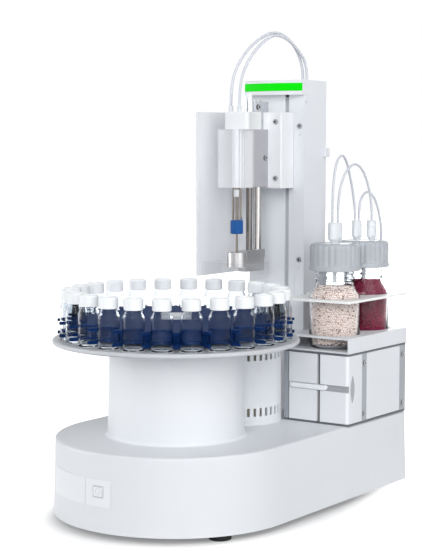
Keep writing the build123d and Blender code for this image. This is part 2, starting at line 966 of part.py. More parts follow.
# Oven: a vented can, cut to the pedestal, round an insulated block with a well for one vial
with BuildPart() as oven_housing:
    post((0, needle_y), oven_radius, (base_top, pedestal_top))
    post(
        (0, needle_y),
        oven_radius - oven_wall,
        (base_top - overrun, pedestal_top - oven_wall),
        mode=Mode.SUBTRACT,
    )
    post((0, needle_y), oven_mouth_radius, (base_top, pedestal_top + overrun), mode=Mode.SUBTRACT)
    with Locations((0, axis_y, base_top)):
        Cone(
            pedestal_radius + move_gap,
            pedestal_top_radius + move_gap,
            pedestal_height,
            align=centred_low,
            mode=Mode.SUBTRACT,
        )
        Cone(
            pedestal_radius + pedestal_foot_radius + move_gap,
            pedestal_radius + move_gap,
            pedestal_foot_radius + move_gap,
            align=centred_low,
            mode=Mode.SUBTRACT,
        )
    vent_span = vent_pitch_angle * (vent_count - 1)
    for bottom, height in ((vent_upper_bottom, vent_upper_height), (vent_lower_bottom, vent_lower_height)):
        for start in (vent_start_angle, 180 - vent_start_angle - vent_span):
            with Locations((0, needle_y, bottom)):
                with PolarLocations(oven_radius, vent_count, start, vent_span, endpoint=True):
                    Box(4 * oven_wall, vent_width, height, align=centred_low, mode=Mode.SUBTRACT)
write(oven_housing, "oven_housing")

pedestal_clearance = (
    (0, axis_y),
    pedestal_radius + pedestal_foot_radius + move_gap,
    (base_top - overrun, pedestal_top + overrun),
)
with BuildPart() as oven_insulation:
    post((0, needle_y), insulation_radius, (base_top, oven_block_top))
    post(
        (0, needle_y),
        oven_block_radius + fit_gap,
        (oven_block_bottom, oven_block_top + overrun),
        mode=Mode.SUBTRACT,
    )
    post(*pedestal_clearance, mode=Mode.SUBTRACT)
write(oven_insulation, "oven_insulation")

with BuildPart() as oven_block:
    post((0, needle_y), oven_block_radius, (oven_block_bottom, oven_block_top))
    post((0, needle_y), oven_well_radius, (oven_well_bottom, oven_block_top + overrun), mode=Mode.SUBTRACT)
    post(*pedestal_clearance, mode=Mode.SUBTRACT)
write(oven_block, "oven_block")

# Tower cover: a channel open to the rear, with the lift slot, a shallow jamb and two keyholes in front
with BuildPart() as tower_cover:
    block((tower_left, tower_right), (tower_front, tower_rear), (base_top, tower_body_top))
    block(
        (tower_left + tower_wall, tower_right - tower_wall),
        (tower_front + tower_wall, tower_rear + overrun),
        (base_top - overrun, tower_body_top + overrun),
        mode=Mode.SUBTRACT,
    )
    block(
        (slot_left, slot_right),
        (tower_front - overrun, tower_front + 2 * tower_wall),
        (slot_bottom, tower_body_top + overrun),
        mode=Mode.SUBTRACT,
    )
    block(
        (slot_right, jamb_right),
        (tower_front - overrun, tower_front + jamb_depth),
        (slot_bottom, tower_body_top + overrun),
        mode=Mode.SUBTRACT,
    )
    block(
        (recess_left, recess_right),
        (tower_front - overrun, tower_front + recess_depth),
        (recess_bottom, recess_top),
        mode=Mode.SUBTRACT,
    )
    for height in tower_screw_heights:
        along(
            tower_screw_x,
            (tower_front - overrun, tower_front + 2 * tower_wall),
            height - keyhole_drop,
            keyhole_radius,
            mode=Mode.SUBTRACT,
        )
        along(
            tower_screw_x,
            (tower_front - overrun, tower_front + 2 * tower_wall),
            height,
            screw_shank_radius + fit_gap,
            mode=Mode.SUBTRACT,
        )
    across(
        (tower_right - 2 * tower_wall, tower_right + overrun),
        tower_front + side_hole_inset,
        side_hole_z,
        side_hole_radius,
        mode=Mode.SUBTRACT,
    )
    for height in shield_screw_heights:
        across(
            (tower_left - overrun, tower_left + 2 * tower_wall),
            shield_screw_y,
            height,
            screw_shank_radius + fit_gap,
            mode=Mode.SUBTRACT,
        )
write(tower_cover, "tower_cover")

with BuildPart() as tower_back:
    block(
        (tower_left + tower_wall + fit_gap, tower_right - tower_wall - fit_gap),
        (tower_inner_rear, tower_rear),
        (base_top, tower_body_top),
    )
    block(
        (tower_left + tower_wall + fit_gap, tower_right + tab_proud),
        (tower_rear, tower_rear + tower_rear_thickness),
        (tab_bottom, tab_bottom + tab_height),
    )
    block(
        (tower_right + fit_gap, tower_right + tab_proud),
        (tower_rear - tab_depth, tower_rear + tower_rear_thickness),
        (tab_bottom, tab_bottom + tab_height),
    )
write(tower_back, "tower_back")

shield_left = tower_left - shield_thickness
cap_left = shield_left


def cap_outline(shift):
    """The tower cap seen from above, its bulging front moved forward by a shift."""
    front = tower_front - cap_forward - shift
    with BuildLine() as line:
        Polyline(
            (tower_right, front),
            (tower_right, tower_rear),
            (cap_left, tower_rear),
            (cap_left, front),
        )
        ThreePointArc((cap_left, front), (0, front - cap_bulge), (tower_right, front))
    make_face(line.edges())


light_top = light_bottom + light_height
with BuildPart() as tower_cap:
    with BuildSketch(Plane.XY.offset(tower_body_top)):
        cap_outline(0)
    extrude(amount=cap_height)
    fillet(tower_cap.edges().group_by(Axis.Z)[-1], radius=cap_edge_radius)
    with BuildPart(mode=Mode.PRIVATE) as light_pocket:
        with BuildSketch(Plane.XY.offset(light_bottom - fit_gap)):
            cap_outline(overrun)
        extrude(amount=light_height + 2 * fit_gap)
        with BuildSketch(Plane.XY.offset(light_bottom - overrun)):
            cap_outline(-light_depth)
        extrude(amount=light_height + 2 * overrun, mode=Mode.SUBTRACT)
    add(light_pocket.part, mode=Mode.SUBTRACT)
    for x in hose_port_xs:
        post((x, head_y + hose_port_offset), hose_port_radius, (cap_top_z, cap_top_z + hose_port_height))
write(tower_cap, "tower_cap")

with BuildPart() as status_light:
    with BuildSketch(Plane.XY.offset(light_bottom)):
        cap_outline(light_proud)
    extrude(amount=light_height)
    with BuildSketch(Plane.XY.offset(light_bottom - overrun)):
        cap_outline(fit_gap - light_depth)
    extrude(amount=light_height + 2 * overrun, mode=Mode.SUBTRACT)
write(status_light, "status_light")

# Lift drive: rail and top bearing on the rear panel, motor below, screw and slider
lead_y = tower_front + lead_inset
lead = (screw_x, lead_y)
rail_front = tower_inner_rear - rail_depth
with BuildPart() as linear_rail:
    block(
        (rail_x - rail_width / 2, rail_x + rail_width / 2),
        (rail_front, tower_inner_rear),
        (rail_bottom, rail_top),
    )
    block(
        (screw_x - top_bearing_half_width, screw_x + top_bearing_half_width),
        (lead_y - top_bearing_half_width, tower_inner_rear),
        (top_bearing_bottom, top_bearing_bottom + top_bearing_height),
    )
    post(lead, lead_radius + run_gap, (top_bearing_bottom - overrun, rail_top), mode=Mode.SUBTRACT)
write(linear_rail, "linear_rail")

motor_top = base_top + lift_motor_height
with BuildPart() as lift_motor:
    with BuildSketch(Plane.XY.offset(base_top)):
        with Locations(lead):
            RectangleRounded(lift_motor_side, lift_motor_side, motor_corner)
    extrude(amount=lift_motor_height)
    post(lead, lead_radius + run_gap, (lead_bottom - overrun, motor_top + overrun), mode=Mode.SUBTRACT)
write(lift_motor, "lift_motor")

with BuildPart() as lead_screw:
    post(lead, lead_radius, (lead_bottom, lead_top))
    coupling_bottom = motor_top + coupling_lift
    post(lead, coupling_radius, (coupling_bottom, coupling_bottom + coupling_height))
write(lead_screw, "lead_screw")

plate_front = head_y + plate_front_offset
plate_rear = plate_front + plate_thickness
carriage_front = rail_front - carriage_front_wall
with BuildPart() as lift_slider:
    block(
        (rail_x - carriage_half_width, rail_x + carriage_half_width),
        (carriage_front, tower_inner_rear - carriage_rear_gap),
        (carriage_bottom, carriage_top),
    )
    block(
        (screw_x - lead_radius - nut_rim, rail_x - carriage_half_width + nut_rim),
        (lead_y - lead_radius - nut_rim, lead_y + lead_radius + nut_rim),
        (nut_bottom, nut_bottom + nut_height),
    )
    block(
        (rail_x - web_thickness / 2, rail_x + web_thickness / 2),
        (plate_rear, carriage_front + overrun),
        (carriage_bottom, carriage_top),
    )
    block(
        (rail_x - rail_width / 2 - run_gap, rail_x + rail_width / 2 + run_gap),
        (rail_front - run_gap, tower_rear),
        (carriage_bottom - overrun, carriage_top + overrun),
        mode=Mode.SUBTRACT,
    )
    post(lead, lead_radius + run_gap, (nut_bottom - overrun, carriage_top), mode=Mode.SUBTRACT)
write(lift_slider, "lift_slider")

# Side shield on the tower's left side, and the clear guard on the shield
with BuildPart() as side_shield:
    block(
        (shield_left, tower_left),
        (head_y + shield_front_offset, tower_front + shield_overlap),
        (shield_bottom, shield_top),
    )
    for height in shield_screw_heights:
        across(
            (shield_left - overrun, tower_left + overrun),
            shield_screw_y,
            height,
            screw_shank_radius + fit_gap,
            mode=Mode.SUBTRACT,
        )
write(side_shield, "side_shield")

guard_front = head_y + guard_front_offset
with BuildPart() as clear_guard:
    block(
        (tower_left, guard_right_x),
        (guard_front, head_y + guard_left_rear_offset),
        (guard_bottom, guard_top),
    )
    block(
        (guard_right_x - guard_wall, guard_right_x),
        (guard_front, head_y + guard_right_rear_offset),
        (guard_bottom, guard_top),
    )
    fillet(clear_guard.edges().filter_by(Axis.Z).group_by(Axis.Y)[0], radius=guard_corner_radius)
    block(
        (tower_left + guard_wall, guard_right_x - guard_wall),
        (guard_front + guard_wall, head_y + guard_right_rear_offset + overrun),
        (guard_bottom - overrun, guard_top + overrun),
        mode=Mode.SUBTRACT,
    )
write(clear_guard, "clear_guard")

# Head bracket: a block on the slider, a web round the guide rods and an arm over the vial, in one casting
arm_front = head_y + arm_front_offset
front_rod = (0, head_y + front_rod_offset)
rear_rod = (0, head_y + rear_rod_offset)
web_screw_y = head_y + web_screw_offset
clamp_screw_y = head_y + clamp_screw_offset
stay_places = [(-stay_x, needle_y), (stay_x, needle_y)]
rods = ((front_rod, front_rod_radius), (rear_rod, rear_rod_radius))
with BuildPart() as head_bracket:
    block((plate_left, plate_right), (plate_front, plate_rear), (plate_bottom, arm_top))
    right_edge = head_bracket.edges().filter_by(Axis.Z).sort_by(Axis.X)[-2:].sort_by(Axis.Y)[0]
    fillet(right_edge, radius=plate_corner_radius)
    with BuildSketch(Plane.XY.offset(arm_bottom)):
        with BuildLine():
            Polyline(
                (-arm_half_width, arm_front),
                (arm_half_width, arm_front),
                (arm_half_width, head_y + taper_start_offset),
                (web_right, head_y + taper_end_offset),
                (web_right, plate_front),
                (-arm_half_width, plate_front),
                close=True,
            )
        make_face()
    extrude(amount=arm_top - arm_bottom)
    fillet(head_bracket.edges().filter_by(Axis.Z).group_by(Axis.Y)[0], radius=arm_corner_radius)
    block((web_left, web_right), (head_y + web_front_offset, plate_front), (web_bottom, arm_bottom))
    post((0, needle_y), tube_radius + fit_gap, (arm_bottom - overrun, arm_top + overrun), mode=Mode.SUBTRACT)
    for place, radius in rods:
        post(place, radius + move_gap, (web_bottom - overrun, arm_top), mode=Mode.SUBTRACT)
        post(place, radius + bush_wall + fit_gap, (arm_bottom, arm_top + overrun), mode=Mode.SUBTRACT)
    for height in plate_screw_heights:
        along(
            plate_screw_x,
            (plate_front - overrun, plate_front + screw_length + fit_gap),
            height,
            screw_shank_radius + fit_gap,
            mode=Mode.SUBTRACT,
        )
    across(
        (web_right - screw_length - fit_gap, web_right + overrun),
        web_screw_y,
        web_screw_z,
        screw_shank_radius + fit_gap,
        mode=Mode.SUBTRACT,
    )
write(head_bracket, "head_bracket")


def screw_towards_y(x, y, z):
    """A socket screw whose head stands on a front face and whose shank runs to the rear."""
    along(x, (y - screw_head_height, y), z, screw_head_radius)
    along(x, (y, y + screw_length), z, screw_shank_radius)
    socket = (y - screw_head_height - overrun, y - screw_head_height + screw_socket_depth)
    along(x, socket, z, screw_socket_radius, Mode.SUBTRACT)


def screw_towards_x(x, y, z, way):
    """A socket screw along X: way is 1 where the shank points to +X and -1 where it points to -X."""
    head = sorted((x - way * screw_head_height, x))
    shank = sorted((x, x + way * screw_length))
    mouth = x - way * (screw_head_height + overrun)
    socket = sorted((mouth, x - way * (screw_head_height - screw_socket_depth)))
    across(head, y, z, screw_head_radius)
    across(shank, y, z, screw_shank_radius)
    across(socket, y, z, screw_socket_radius, Mode.SUBTRACT)


with BuildPart() as head_screws:
    for height in plate_screw_heights:
        screw_towards_y(plate_screw_x, plate_front, height)
    screw_towards_x(web_right, web_screw_y, web_screw_z, -1)
    screw_towards_x(web_right, clamp_screw_y, clamp_screw_z, -1)
write(head_screws, "head_screws")

cover_front = head_y + cover_front_offset
cover_rear = head_y + web_front_offset
with BuildPart() as needle_guard:
    block((-cover_half_width, cover_half_width), (cover_front, cover_rear), (web_bottom, arm_bottom))
    fillet(needle_guard.edges().filter_by(Axis.Z).group_by(Axis.Y)[0], radius=cover_edge_radius)
    block(
        (cover_wall - cover_half_width, cover_half_width - cover_wall),
        (cover_front + cover_wall, cover_rear - cover_wall),
        (web_bottom - overrun, arm_bottom - cover_wall),
        mode=Mode.SUBTRACT,
    )
    post((0, needle_y), tube_radius + fit_gap, (web_bottom, arm_bottom + overrun), mode=Mode.SUBTRACT)
    for place in stay_places:
        post(place, stay_radius + fit_gap, (web_bottom, arm_bottom + overrun), mode=Mode.SUBTRACT)
write(needle_guard, "needle_guard")

needle_place = (0, needle_y)
with BuildPart() as needle_tubes:
    post(needle_place, tube_radius, (ferrule_top, arm_top))
    for place in stay_places:
        post(place, stay_radius, (knob_top + move_gap, arm_bottom))
    post(needle_place, holder_radius, (holder_bottom, ferrule_top))
    post(needle_place, needle_radius, (needle_tip_z + needle_point_height, holder_bottom))
    with Locations((0, needle_y, needle_tip_z)):
        Cone(needle_radius * arc_share, needle_radius, needle_point_height, align=centred_low)
write(needle_tubes, "needle_tubes")

with BuildPart() as head_fittings:
    post(needle_place, ferrule_radius, (ferrule_bottom, ferrule_top))
    post(
        needle_place,
        holder_radius + fit_gap,
        (ferrule_bottom - overrun, ferrule_top + overrun),
        mode=Mode.SUBTRACT,
    )
    for x in (left_barb_x, right_barb_x):
        post((x, needle_y), barb_radius, (arm_top, barb_top))
write(head_fittings, "head_fittings")

with BuildPart() as rod_bushes:
    block(
        (clamp_left, web_right),
        (head_y + clamp_front_offset, head_y + clamp_rear_offset),
        (arm_top, clamp_top),
    )
    post(front_rod, front_rod_radius + bush_wall, (arm_bottom, front_bush_top))
    post(rear_rod, rear_rod_radius + bush_wall, (arm_bottom, arm_top))
    for place, radius in rods:
        post(place, radius + run_gap, (arm_bottom - overrun, front_bush_top + overrun), mode=Mode.SUBTRACT)
    across(
        (web_right - screw_length - fit_gap, web_right + overrun),
        clamp_screw_y,
        clamp_screw_z,
        screw_shank_radius + fit_gap,
        mode=Mode.SUBTRACT,
    )
write(rod_bushes, "rod_bushes")

with BuildPart() as needle_knob:
    post(needle_place, knob_radius, (knob_bottom, knob_top))
    fillet(needle_knob.edges().filter_by(GeomType.CIRCLE), radius=knob_edge_radius)
    post(needle_place, needle_radius + run_gap, (knob_bottom - overrun, knob_top), mode=Mode.SUBTRACT)
    post(
        needle_place,
        holder_radius + run_gap,
        (holder_bottom - move_gap, knob_top + overrun),
        mode=Mode.SUBTRACT,
    )
write(needle_knob, "needle_knob")

# Hold-down foot: a ring over the vial cap on a stepped block that two rods carry
rod_seat = foot_block_top - rod_seat_depth
foot_rear = head_y + foot_block_rear_offset
with BuildPart() as hold_down_foot:
    block(
        (-foot_block_half_width, foot_block_half_width),
        (head_y + foot_block_front_offset, foot_rear),
        (foot_block_bottom, foot_block_top),
    )
    block(
        (-foot_block_half_width - foot_step_proud, foot_block_half_width + foot_step_proud),
        (head_y + foot_block_front_offset, foot_rear),
        (foot_block_top - foot_step_height, foot_block_top),
    )
    block(
        (-foot_block_half_width, foot_block_half_width),
        (needle_y, foot_rear),
        (foot_ring_bottom, foot_ring_top),
    )
    post(needle_place, foot_ring_radius, (foot_ring_bottom, foot_ring_top))
    post(
        needle_place,
        foot_bore_radius,
        (foot_ring_bottom - overrun, foot_ring_top + overrun),
        mode=Mode.SUBTRACT,
    )
    for place, radius in rods:
        post(place, radius + fit_gap, (rod_seat, foot_block_top + overrun), mode=Mode.SUBTRACT)
write(hold_down_foot, "hold_down_foot")

with BuildPart() as guide_rods:
    post(front_rod, front_rod_radius, (rod_seat, front_bush_top - fit_gap))
    post(rear_rod, rear_rod_radius, (rod_seat, rear_rod_top))
    post(front_rod, front_rod_radius, (front_bush_top, rod_cap_top))
write(guide_rods, "guide_rods")

# Screws of the fixed covers: tower strip, side shield and the posts of the drying box
box_front = head_y + box_front_offset
box_rear = head_y + box_rear_offset
side_post_centres = [
    head_y + (mid_post_front_offset + mid_post_rear_offset) / 2,
    head_y + (rear_post_front_offset + box_rear_offset) / 2,
]
with BuildPart() as cover_screws:
    for height in tower_screw_heights:
        screw_towards_y(tower_screw_x, tower_front, height)
    for height in shield_screw_heights:
        screw_towards_x(shield_left, shield_screw_y, height, 1)
    for height in box_screw_heights:
        for y in side_post_centres:
            screw_towards_x(box_right, y, height, -1)
write(cover_screws, "cover_screws")


# Gas-drying box
def box_outline(inset):
    """The drying box seen from above, its front right corner rounded."""
    left = box_left + inset
    right = box_right - inset
    front = box_front + inset
    rear = box_rear - inset
    corner = box_corner_radius - min(inset, box_corner_radius / 2)
    with BuildLine() as line:
        Polyline((right, front + corner), (right, rear), (left, rear), (left, front), (right - corner, front))
        TangentArc((right - corner, front), (right, front + corner), tangent=(1, 0))
    make_face(line.edges())


cover_low = box_bottom + box_sheet + move_gap
cover_high = box_top - box_sheet - move_gap
hinge_x = box_left + box_post_width + move_gap + door_thickness / 2
hinge = (hinge_x, box_front + door_thickness / 2)
with BuildPart() as box_frame:
    for bottom in (box_bottom, box_top - box_sheet):
        with BuildSketch(Plane.XY.offset(bottom)):
            box_outline(0)
        extrude(amount=box_sheet)
    block((box_left, box_left + box_sheet), (box_front, box_rear), (box_bottom, box_top))
    block((box_left, box_right), (box_rear - box_sheet, box_rear), (box_bottom, box_top))
    block(
        (box_left, box_left + box_post_width),
        (box_front, box_front + box_post_depth),
        (box_bottom, box_top),
    )
    block(
        (pillar_left, pillar_right),
        (box_front + cover_thickness + move_gap, box_front + cover_thickness + move_gap + pillar_depth),
        (box_bottom, box_top),
    )
    block(
        (box_right - side_post_depth, box_right),
        (head_y + mid_post_front_offset + fit_gap, head_y + mid_post_rear_offset),
        (box_bottom, box_top),
    )
    block(
        (box_right - side_post_depth, box_right),
        (head_y + rear_post_front_offset, box_rear),
        (box_bottom, box_top),
    )
    post(hinge, door_pin_radius + run_gap, (box_bottom, box_top), mode=Mode.SUBTRACT)
    for height in box_screw_heights:
        for y in side_post_centres:
            across(
                (box_right - screw_length - fit_gap, box_right + overrun),
                y,
                height,
                screw_shank_radius + fit_gap,
                mode=Mode.SUBTRACT,
            )
write(box_frame, "box_frame")

groove_top = groove_bottom + groove_height
leaf_middle = head_y + (leaf_front_offset + leaf_rear_offset) / 2
leaf_centre_z = (leaf_bottom + leaf_top) / 2
with BuildPart() as corner_cover:
    with BuildSketch(Plane.XY.offset(cover_low)):
        box_outline(0)
        with BuildSketch(mode=Mode.PRIVATE) as cover_inside:
            box_outline(cover_thickness)
        add(cover_inside.sketch, mode=Mode.SUBTRACT)
    extrude(amount=cover_high - cover_low)
    block(
        (cover_left, box_right),
        (box_front, head_y + mid_post_front_offset),
        (cover_low, cover_high),
        mode=Mode.INTERSECT,
    )
    block(
        (cover_left - overrun, box_right + overrun),
        (box_front - overrun, box_front + groove_depth + move_gap),
        (groove_bottom, groove_top),
        mode=Mode.SUBTRACT,
    )
    with BuildSketch(Plane.YZ.offset(box_right - leaf_depth)):
        with BuildLine():
            ThreePointArc(
                (leaf_middle, leaf_bottom),
                (head_y + leaf_rear_offset, leaf_centre_z),
                (leaf_middle, leaf_top),
            )
            ThreePointArc(
                (leaf_middle, leaf_top),
                (head_y + leaf_front_offset, leaf_centre_z),
                (leaf_middle, leaf_bottom),
            )
        make_face()
    extrude(amount=2 * leaf_depth, mode=Mode.SUBTRACT)
write(corner_cover, "corner_cover")

with BuildPart() as side_panel:
    block(
        (box_right - side_panel_thickness, box_right),
        (head_y + mid_post_rear_offset + move_gap, head_y + rear_post_front_offset - move_gap),
        (cover_low, cover_high),
    )
write(side_panel, "side_panel")

with BuildPart() as left_door:
    block((hinge_x, door_right), (box_front, box_front + door_thickness), (cover_low, cover_high))
    post(hinge, door_thickness / 2, (cover_low, cover_high))
    block(
        (box_left, door_right + overrun),
        (box_front - overrun, box_front + groove_depth),
        (groove_bottom, groove_top),
        mode=Mode.SUBTRACT,
    )
    pin_reach = move_gap + door_pin_length
    post(hinge, door_pin_radius, (cover_low - pin_reach, cover_high + pin_reach))
write(left_door, "left_door")

handle_middle = (handle_left + handle_right) / 2
with BuildPart() as door_handle:
    with BuildSketch(Plane.XZ.offset(-box_front - groove_depth)):
        with Locations((handle_middle, (groove_bottom + groove_top) / 2)):
            SlotOverall(handle_right - handle_left, handle_height)
    extrude(amount=groove_depth + handle_proud)
write(door_handle, "door_handle")

pump_x = (box_left + box_right) / 2
pump_front = head_y + pump_front_offset
floor_top = box_bottom + box_sheet
with BuildPart() as gas_pump:
    block(
        (pump_x - pump_half_width, pump_x + pump_half_width),
        (pump_front, pump_front + pump_length),
        (floor_top, floor_top + pump_base_height),
    )
    along(
        pump_x,
        (pump_front, pump_front + pump_length),
        floor_top + pump_base_height + pump_motor_radius - cap_edge_radius,
        pump_motor_radius,
    )
write(gas_pump, "gas_pump")

# Tray, retaining plate and bottles
bottle_places = [(bottle_x, head_y + offset) for offset in bottle_offsets]
tray_rows = (head_y + tray_front_offset, head_y + tray_rear_offset)
tray_floor = box_top + tray_bottom_thickness
bottle_hole_radius = bottle_radius + bottle_hole_clearance
with BuildPart() as bottle_tray:
    block((box_left, box_right), tray_rows, (box_top, tray_top))
    block(
        (box_left + tray_bottom_thickness, box_right - tray_bottom_thickness),
        (tray_rows[0] - overrun, tray_rows[1] + overrun),
        (tray_floor, tray_top - tray_bottom_thickness),
        mode=Mode.SUBTRACT,
    )
    for place in bottle_places:
        post(place, bottle_hole_radius, (tray_floor, tray_top + overrun), mode=Mode.SUBTRACT)
write(bottle_tray, "bottle_tray")

retainer_top = retainer_bottom + retainer_thickness
gas_port = (gas_port_x, head_y + gas_port_offset)
with BuildPart() as retaining_plate:
    block(
        (box_left, box_right),
        (head_y + retainer_front_offset, tray_rows[1]),
        (retainer_bottom, retainer_top),
    )
    fillet(retaining_plate.edges().filter_by(Axis.Z), radius=retainer_corner_radius)
    block(
        (tower_right, box_left + overrun),
        (tower_front + retainer_tab_margin, tower_rear - retainer_tab_margin),
        (retainer_bottom, retainer_top),
    )
    post(gas_port, gas_port_radius, (retainer_top, retainer_top + gas_port_height))
    for place in bottle_places:
        post(
            place,
            bottle_hole_radius,
            (retainer_bottom - overrun, retainer_top + overrun),
            mode=Mode.SUBTRACT,
        )
write(retaining_plate, "retaining_plate")


def shoulder(inset):
    """The bottle's shoulder in profile, from the body up to the neck, moved in by an inset."""
    body = bottle_radius - inset
    neck = bottle_neck_radius - inset
    rise = bottle_neck_z - bottle_shoulder_z
    return Bezier(
        (body, bottle_shoulder_z),
        (body, bottle_shoulder_z + rise * shoulder_share),
        (neck, bottle_neck_z - rise * shoulder_share),
        (neck, bottle_neck_z),
    )


glass_floor = tray_floor + bottle_wall
with BuildPart() as one_bottle:
    with BuildSketch(Plane.XZ):
        with BuildLine() as outline:
            Polyline((0, tray_floor), (bottle_radius, tray_floor), (bottle_radius, bottle_shoulder_z))
            shoulder(0)
            Polyline(
                (bottle_neck_radius, bottle_neck_z),
                (bottle_neck_radius, bottle_rim_z),
                (bottle_neck_radius - bottle_wall, bottle_rim_z),
                (bottle_neck_radius - bottle_wall, bottle_neck_z),
            )
            shoulder(bottle_wall)
            Polyline(
                (bottle_radius - bottle_wall, bottle_shoulder_z),
                (bottle_radius - bottle_wall, glass_floor),
                (0, glass_floor),
                (0, tray_floor),
            )
        make_face()
    revolve(axis=Axis.Z)
    fillet(
        one_bottle.edges().filter_by(GeomType.CIRCLE).group_by(Axis.Z)[0].sort_by(SortBy.RADIUS)[-1],
        radius=bottle_corner_radius,
    )

with BuildPart() as bottle_glass:
    with Locations(*bottle_places):
        add(one_bottle.part)
write(bottle_glass, "bottle_glass")

bead_inset = bottle_wall + bead_clearance
with BuildPart() as one_bead_bed:
    with BuildSketch(Plane.XZ):
        with BuildLine():
            Polyline(
                (0, bottle_neck_z + bead_crown),
                (0, glass_floor + bead_clearance),
                (bottle_radius - bead_inset, glass_floor + bead_clearance),
                (bottle_radius - bead_inset, bottle_shoulder_z),
            )
            shoulder(bead_inset)
            Line((bottle_neck_radius - bead_inset, bottle_neck_z), (0, bottle_neck_z + bead_crown))
        make_face()
    revolve(axis=Axis.Z)

with BuildPart() as bottle_beads:
    with Locations(*bottle_places):
        add(one_bead_bed.part)
write(bottle_beads, "bottle_beads")


def bottle_cap(place):
    """A ribbed screw cap: an open ring with a wider skirt, round a fixed insert."""
    with BuildPart() as ring:
        post(place, cap_radius, (cap_bottom, cap_top))
        groove_circle = cap_radius + cap_groove_radius - cap_groove_depth
        with Locations((place[0], place[1], cap_bottom + cap_skirt_height)):
            with PolarLocations(groove_circle, cap_rib_count):
                Cylinder(cap_groove_radius, cap_top - cap_bottom, align=centred_low, mode=Mode.SUBTRACT)
        post(place, cap_skirt_radius, (cap_bottom, cap_bottom + cap_skirt_height))
        post(place, cap_radius - cap_wall, (cap_bottom - overrun, cap_top - cap_top_wall), mode=Mode.SUBTRACT)
        post(place, cap_bore_radius, (cap_bottom, cap_top + overrun), mode=Mode.SUBTRACT)
    return ring.part


with BuildPart() as cap_front:
    add(bottle_cap(bottle_places[0]))
write(cap_front, "cap_front")

with BuildPart() as cap_rear:
    add(bottle_cap(bottle_places[1]))
write(cap_rear, "cap_rear")


def hose_nut(place, radius):
    """A white nut whose lower end tapers to its stem."""
    with Locations((place[0], place[1], cap_top)):
        Cone(radius * nut_stem_share, radius, nut_stem_height, align=centred_low)
    post(place, radius, (cap_top + nut_stem_height, nut_top))


rear_nuts = [(x, head_y + offset) for x, offset in rear_nut_places]
with BuildPart() as cap_ports:
    insert_bottom = bottle_rim_z + fit_gap
    for place in bottle_places:
        post(place, insert_flange_radius, (insert_bottom, insert_bottom + insert_flange_height))
        post(place, cap_bore_radius - move_gap, (insert_bottom, cap_top))
        post(place, dip_tube_radius, (dip_tube_bottom, insert_bottom))
    hose_nut(bottle_places[0], front_nut_radius)
    for place in rear_nuts:
        hose_nut(place, rear_nut_radius)
write(cap_ports, "cap_ports")


# Hoses and tubes: each route is a list of corners from its own start line and level
def bend_radii(points):
    """The radius at each corner of a route: as large as its two runs allow."""
    radii = []
    for before, corner, after in zip(points, points[1:], points[2:]):
        arriving = Vector(*corner) - Vector(*before)
        leaving = Vector(*after) - Vector(*corner)
        half_turn = radians(arriving.get_angle(leaving)) / 2
        radii.append(bend_share * min(arriving.length, leaving.length) / tan(half_turn))
    return radii


def tube_along(points, radius, line_y, level):
    """A plain tube along straight runs joined by tangent arcs."""
    placed = [(x, line_y + offset, level + rise) for x, offset, rise in points]
    radii = bend_radii(placed)
    with BuildPart() as tube:
        with BuildLine() as route:
            centreline = FilletPolyline(*placed, radius=radii)
        with BuildSketch(Plane(origin=centreline @ 0, z_dir=centreline % 0)):
            Circle(radius)
        sweep(path=centreline)
    length = centreline.length
    print("tube of length", round(length, 1), "with radii", [round(bend, 1) for bend in radii])
    print("  least bend in diameters", round(min(radii) / (2 * radius), 1))
    print("  volume against section times length", round(tube.part.volume / (pi * radius**2 * length), 4))
    return tube.part


hose_left_route = [
    (-8.0, 110.0, -13.3),
    (-8.0, 110.0, 2.7),
    (-8.8, 113.0, 23.7),
    (-6.0, 121.5, 43.7),
    (0.0, 137.5, 60.2),
    (7.4, 160.0, 70.2),
    (14.0, 183.0, 62.7),
    (18.2, 202.0, 47.7),
    (19.6, 212.0, 29.7),
    (19.6, 212.0, 17.8),
]
hose_right_route = [
    (3.3, 110.0, -13.3),
    (3.3, 110.0, 1.7),
    (3.3, 113.0, 21.7),
    (6.0, 121.5, 39.2),
    (10.5, 137.0, 53.7),
    (15.5, 158.0, 62.7),
    (20.5, 180.0, 57.2),
    (24.4, 202.0, 43.7),
    (25.0, 212.0, 31.7),
    (25.0, 212.0, 17.8),
]
gas_front_route = [
    (86.0, 169.6, 303.0),
    (86.0, 169.6, 322.0),
    (85.8, 171.0, 344.0),
    (85.4, 176.3, 364.0),
    (84.9, 184.5, 371.5),
    (84.1, 195.3, 373.5),
    (83.3, 205.2, 369.0),
    (82.2, 213.5, 359.0),
    (80.9, 222.0, 341.5),
    (80.2, 226.6, 325.0),
    (79.9, 228.3, 313.0),
    (79.9, 228.3, 303.0),
]
gas_middle_route = [
    (90.8, 173.2, 303.0),
    (90.8, 173.2, 321.0),
    (91.1, 177.0, 341.5),
    (91.8, 187.5, 359.0),
    (92.9, 205.5, 368.5),
    (93.9, 222.0, 359.5),
    (94.7, 233.0, 341.0),
    (95.1, 239.4, 319.0),
    (95.1, 239.4, 303.0),
]
gas_rear_route = [
    (83.5, 230.9, 303.0),
    (83.5, 230.9, 312.0),
    (83.8, 232.4, 323.0),
    (84.7, 238.1, 331.3),
    (86.4, 248.0, 335.0),
    (88.3, 257.5, 332.0),
    (90.4, 264.8, 323.0),
    (92.0, 268.5, 308.5),
    (92.8, 271.0, 291.0),
    (89.8, 273.0, 275.0),
    (82.5, 271.5, 261.5),
    (74.0, 266.3, 251.5),
    (68.5, 260.5, 241.0),
    (68.5, 260.5, 229.0),
]

with BuildPart() as head_hose_left:
    add(tube_along(hose_left_route, hose_radius, head_y, tower_body_top))
write(head_hose_left, "head_hose_left")

with BuildPart() as head_hose_right:
    add(tube_along(hose_right_route, hose_radius, head_y, tower_body_top))
write(head_hose_right, "head_hose_right")

with BuildPart() as gas_tube_front:
    add(tube_along(gas_front_route, gas_tube_radius, head_y, 0))
write(gas_tube_front, "gas_tube_front")

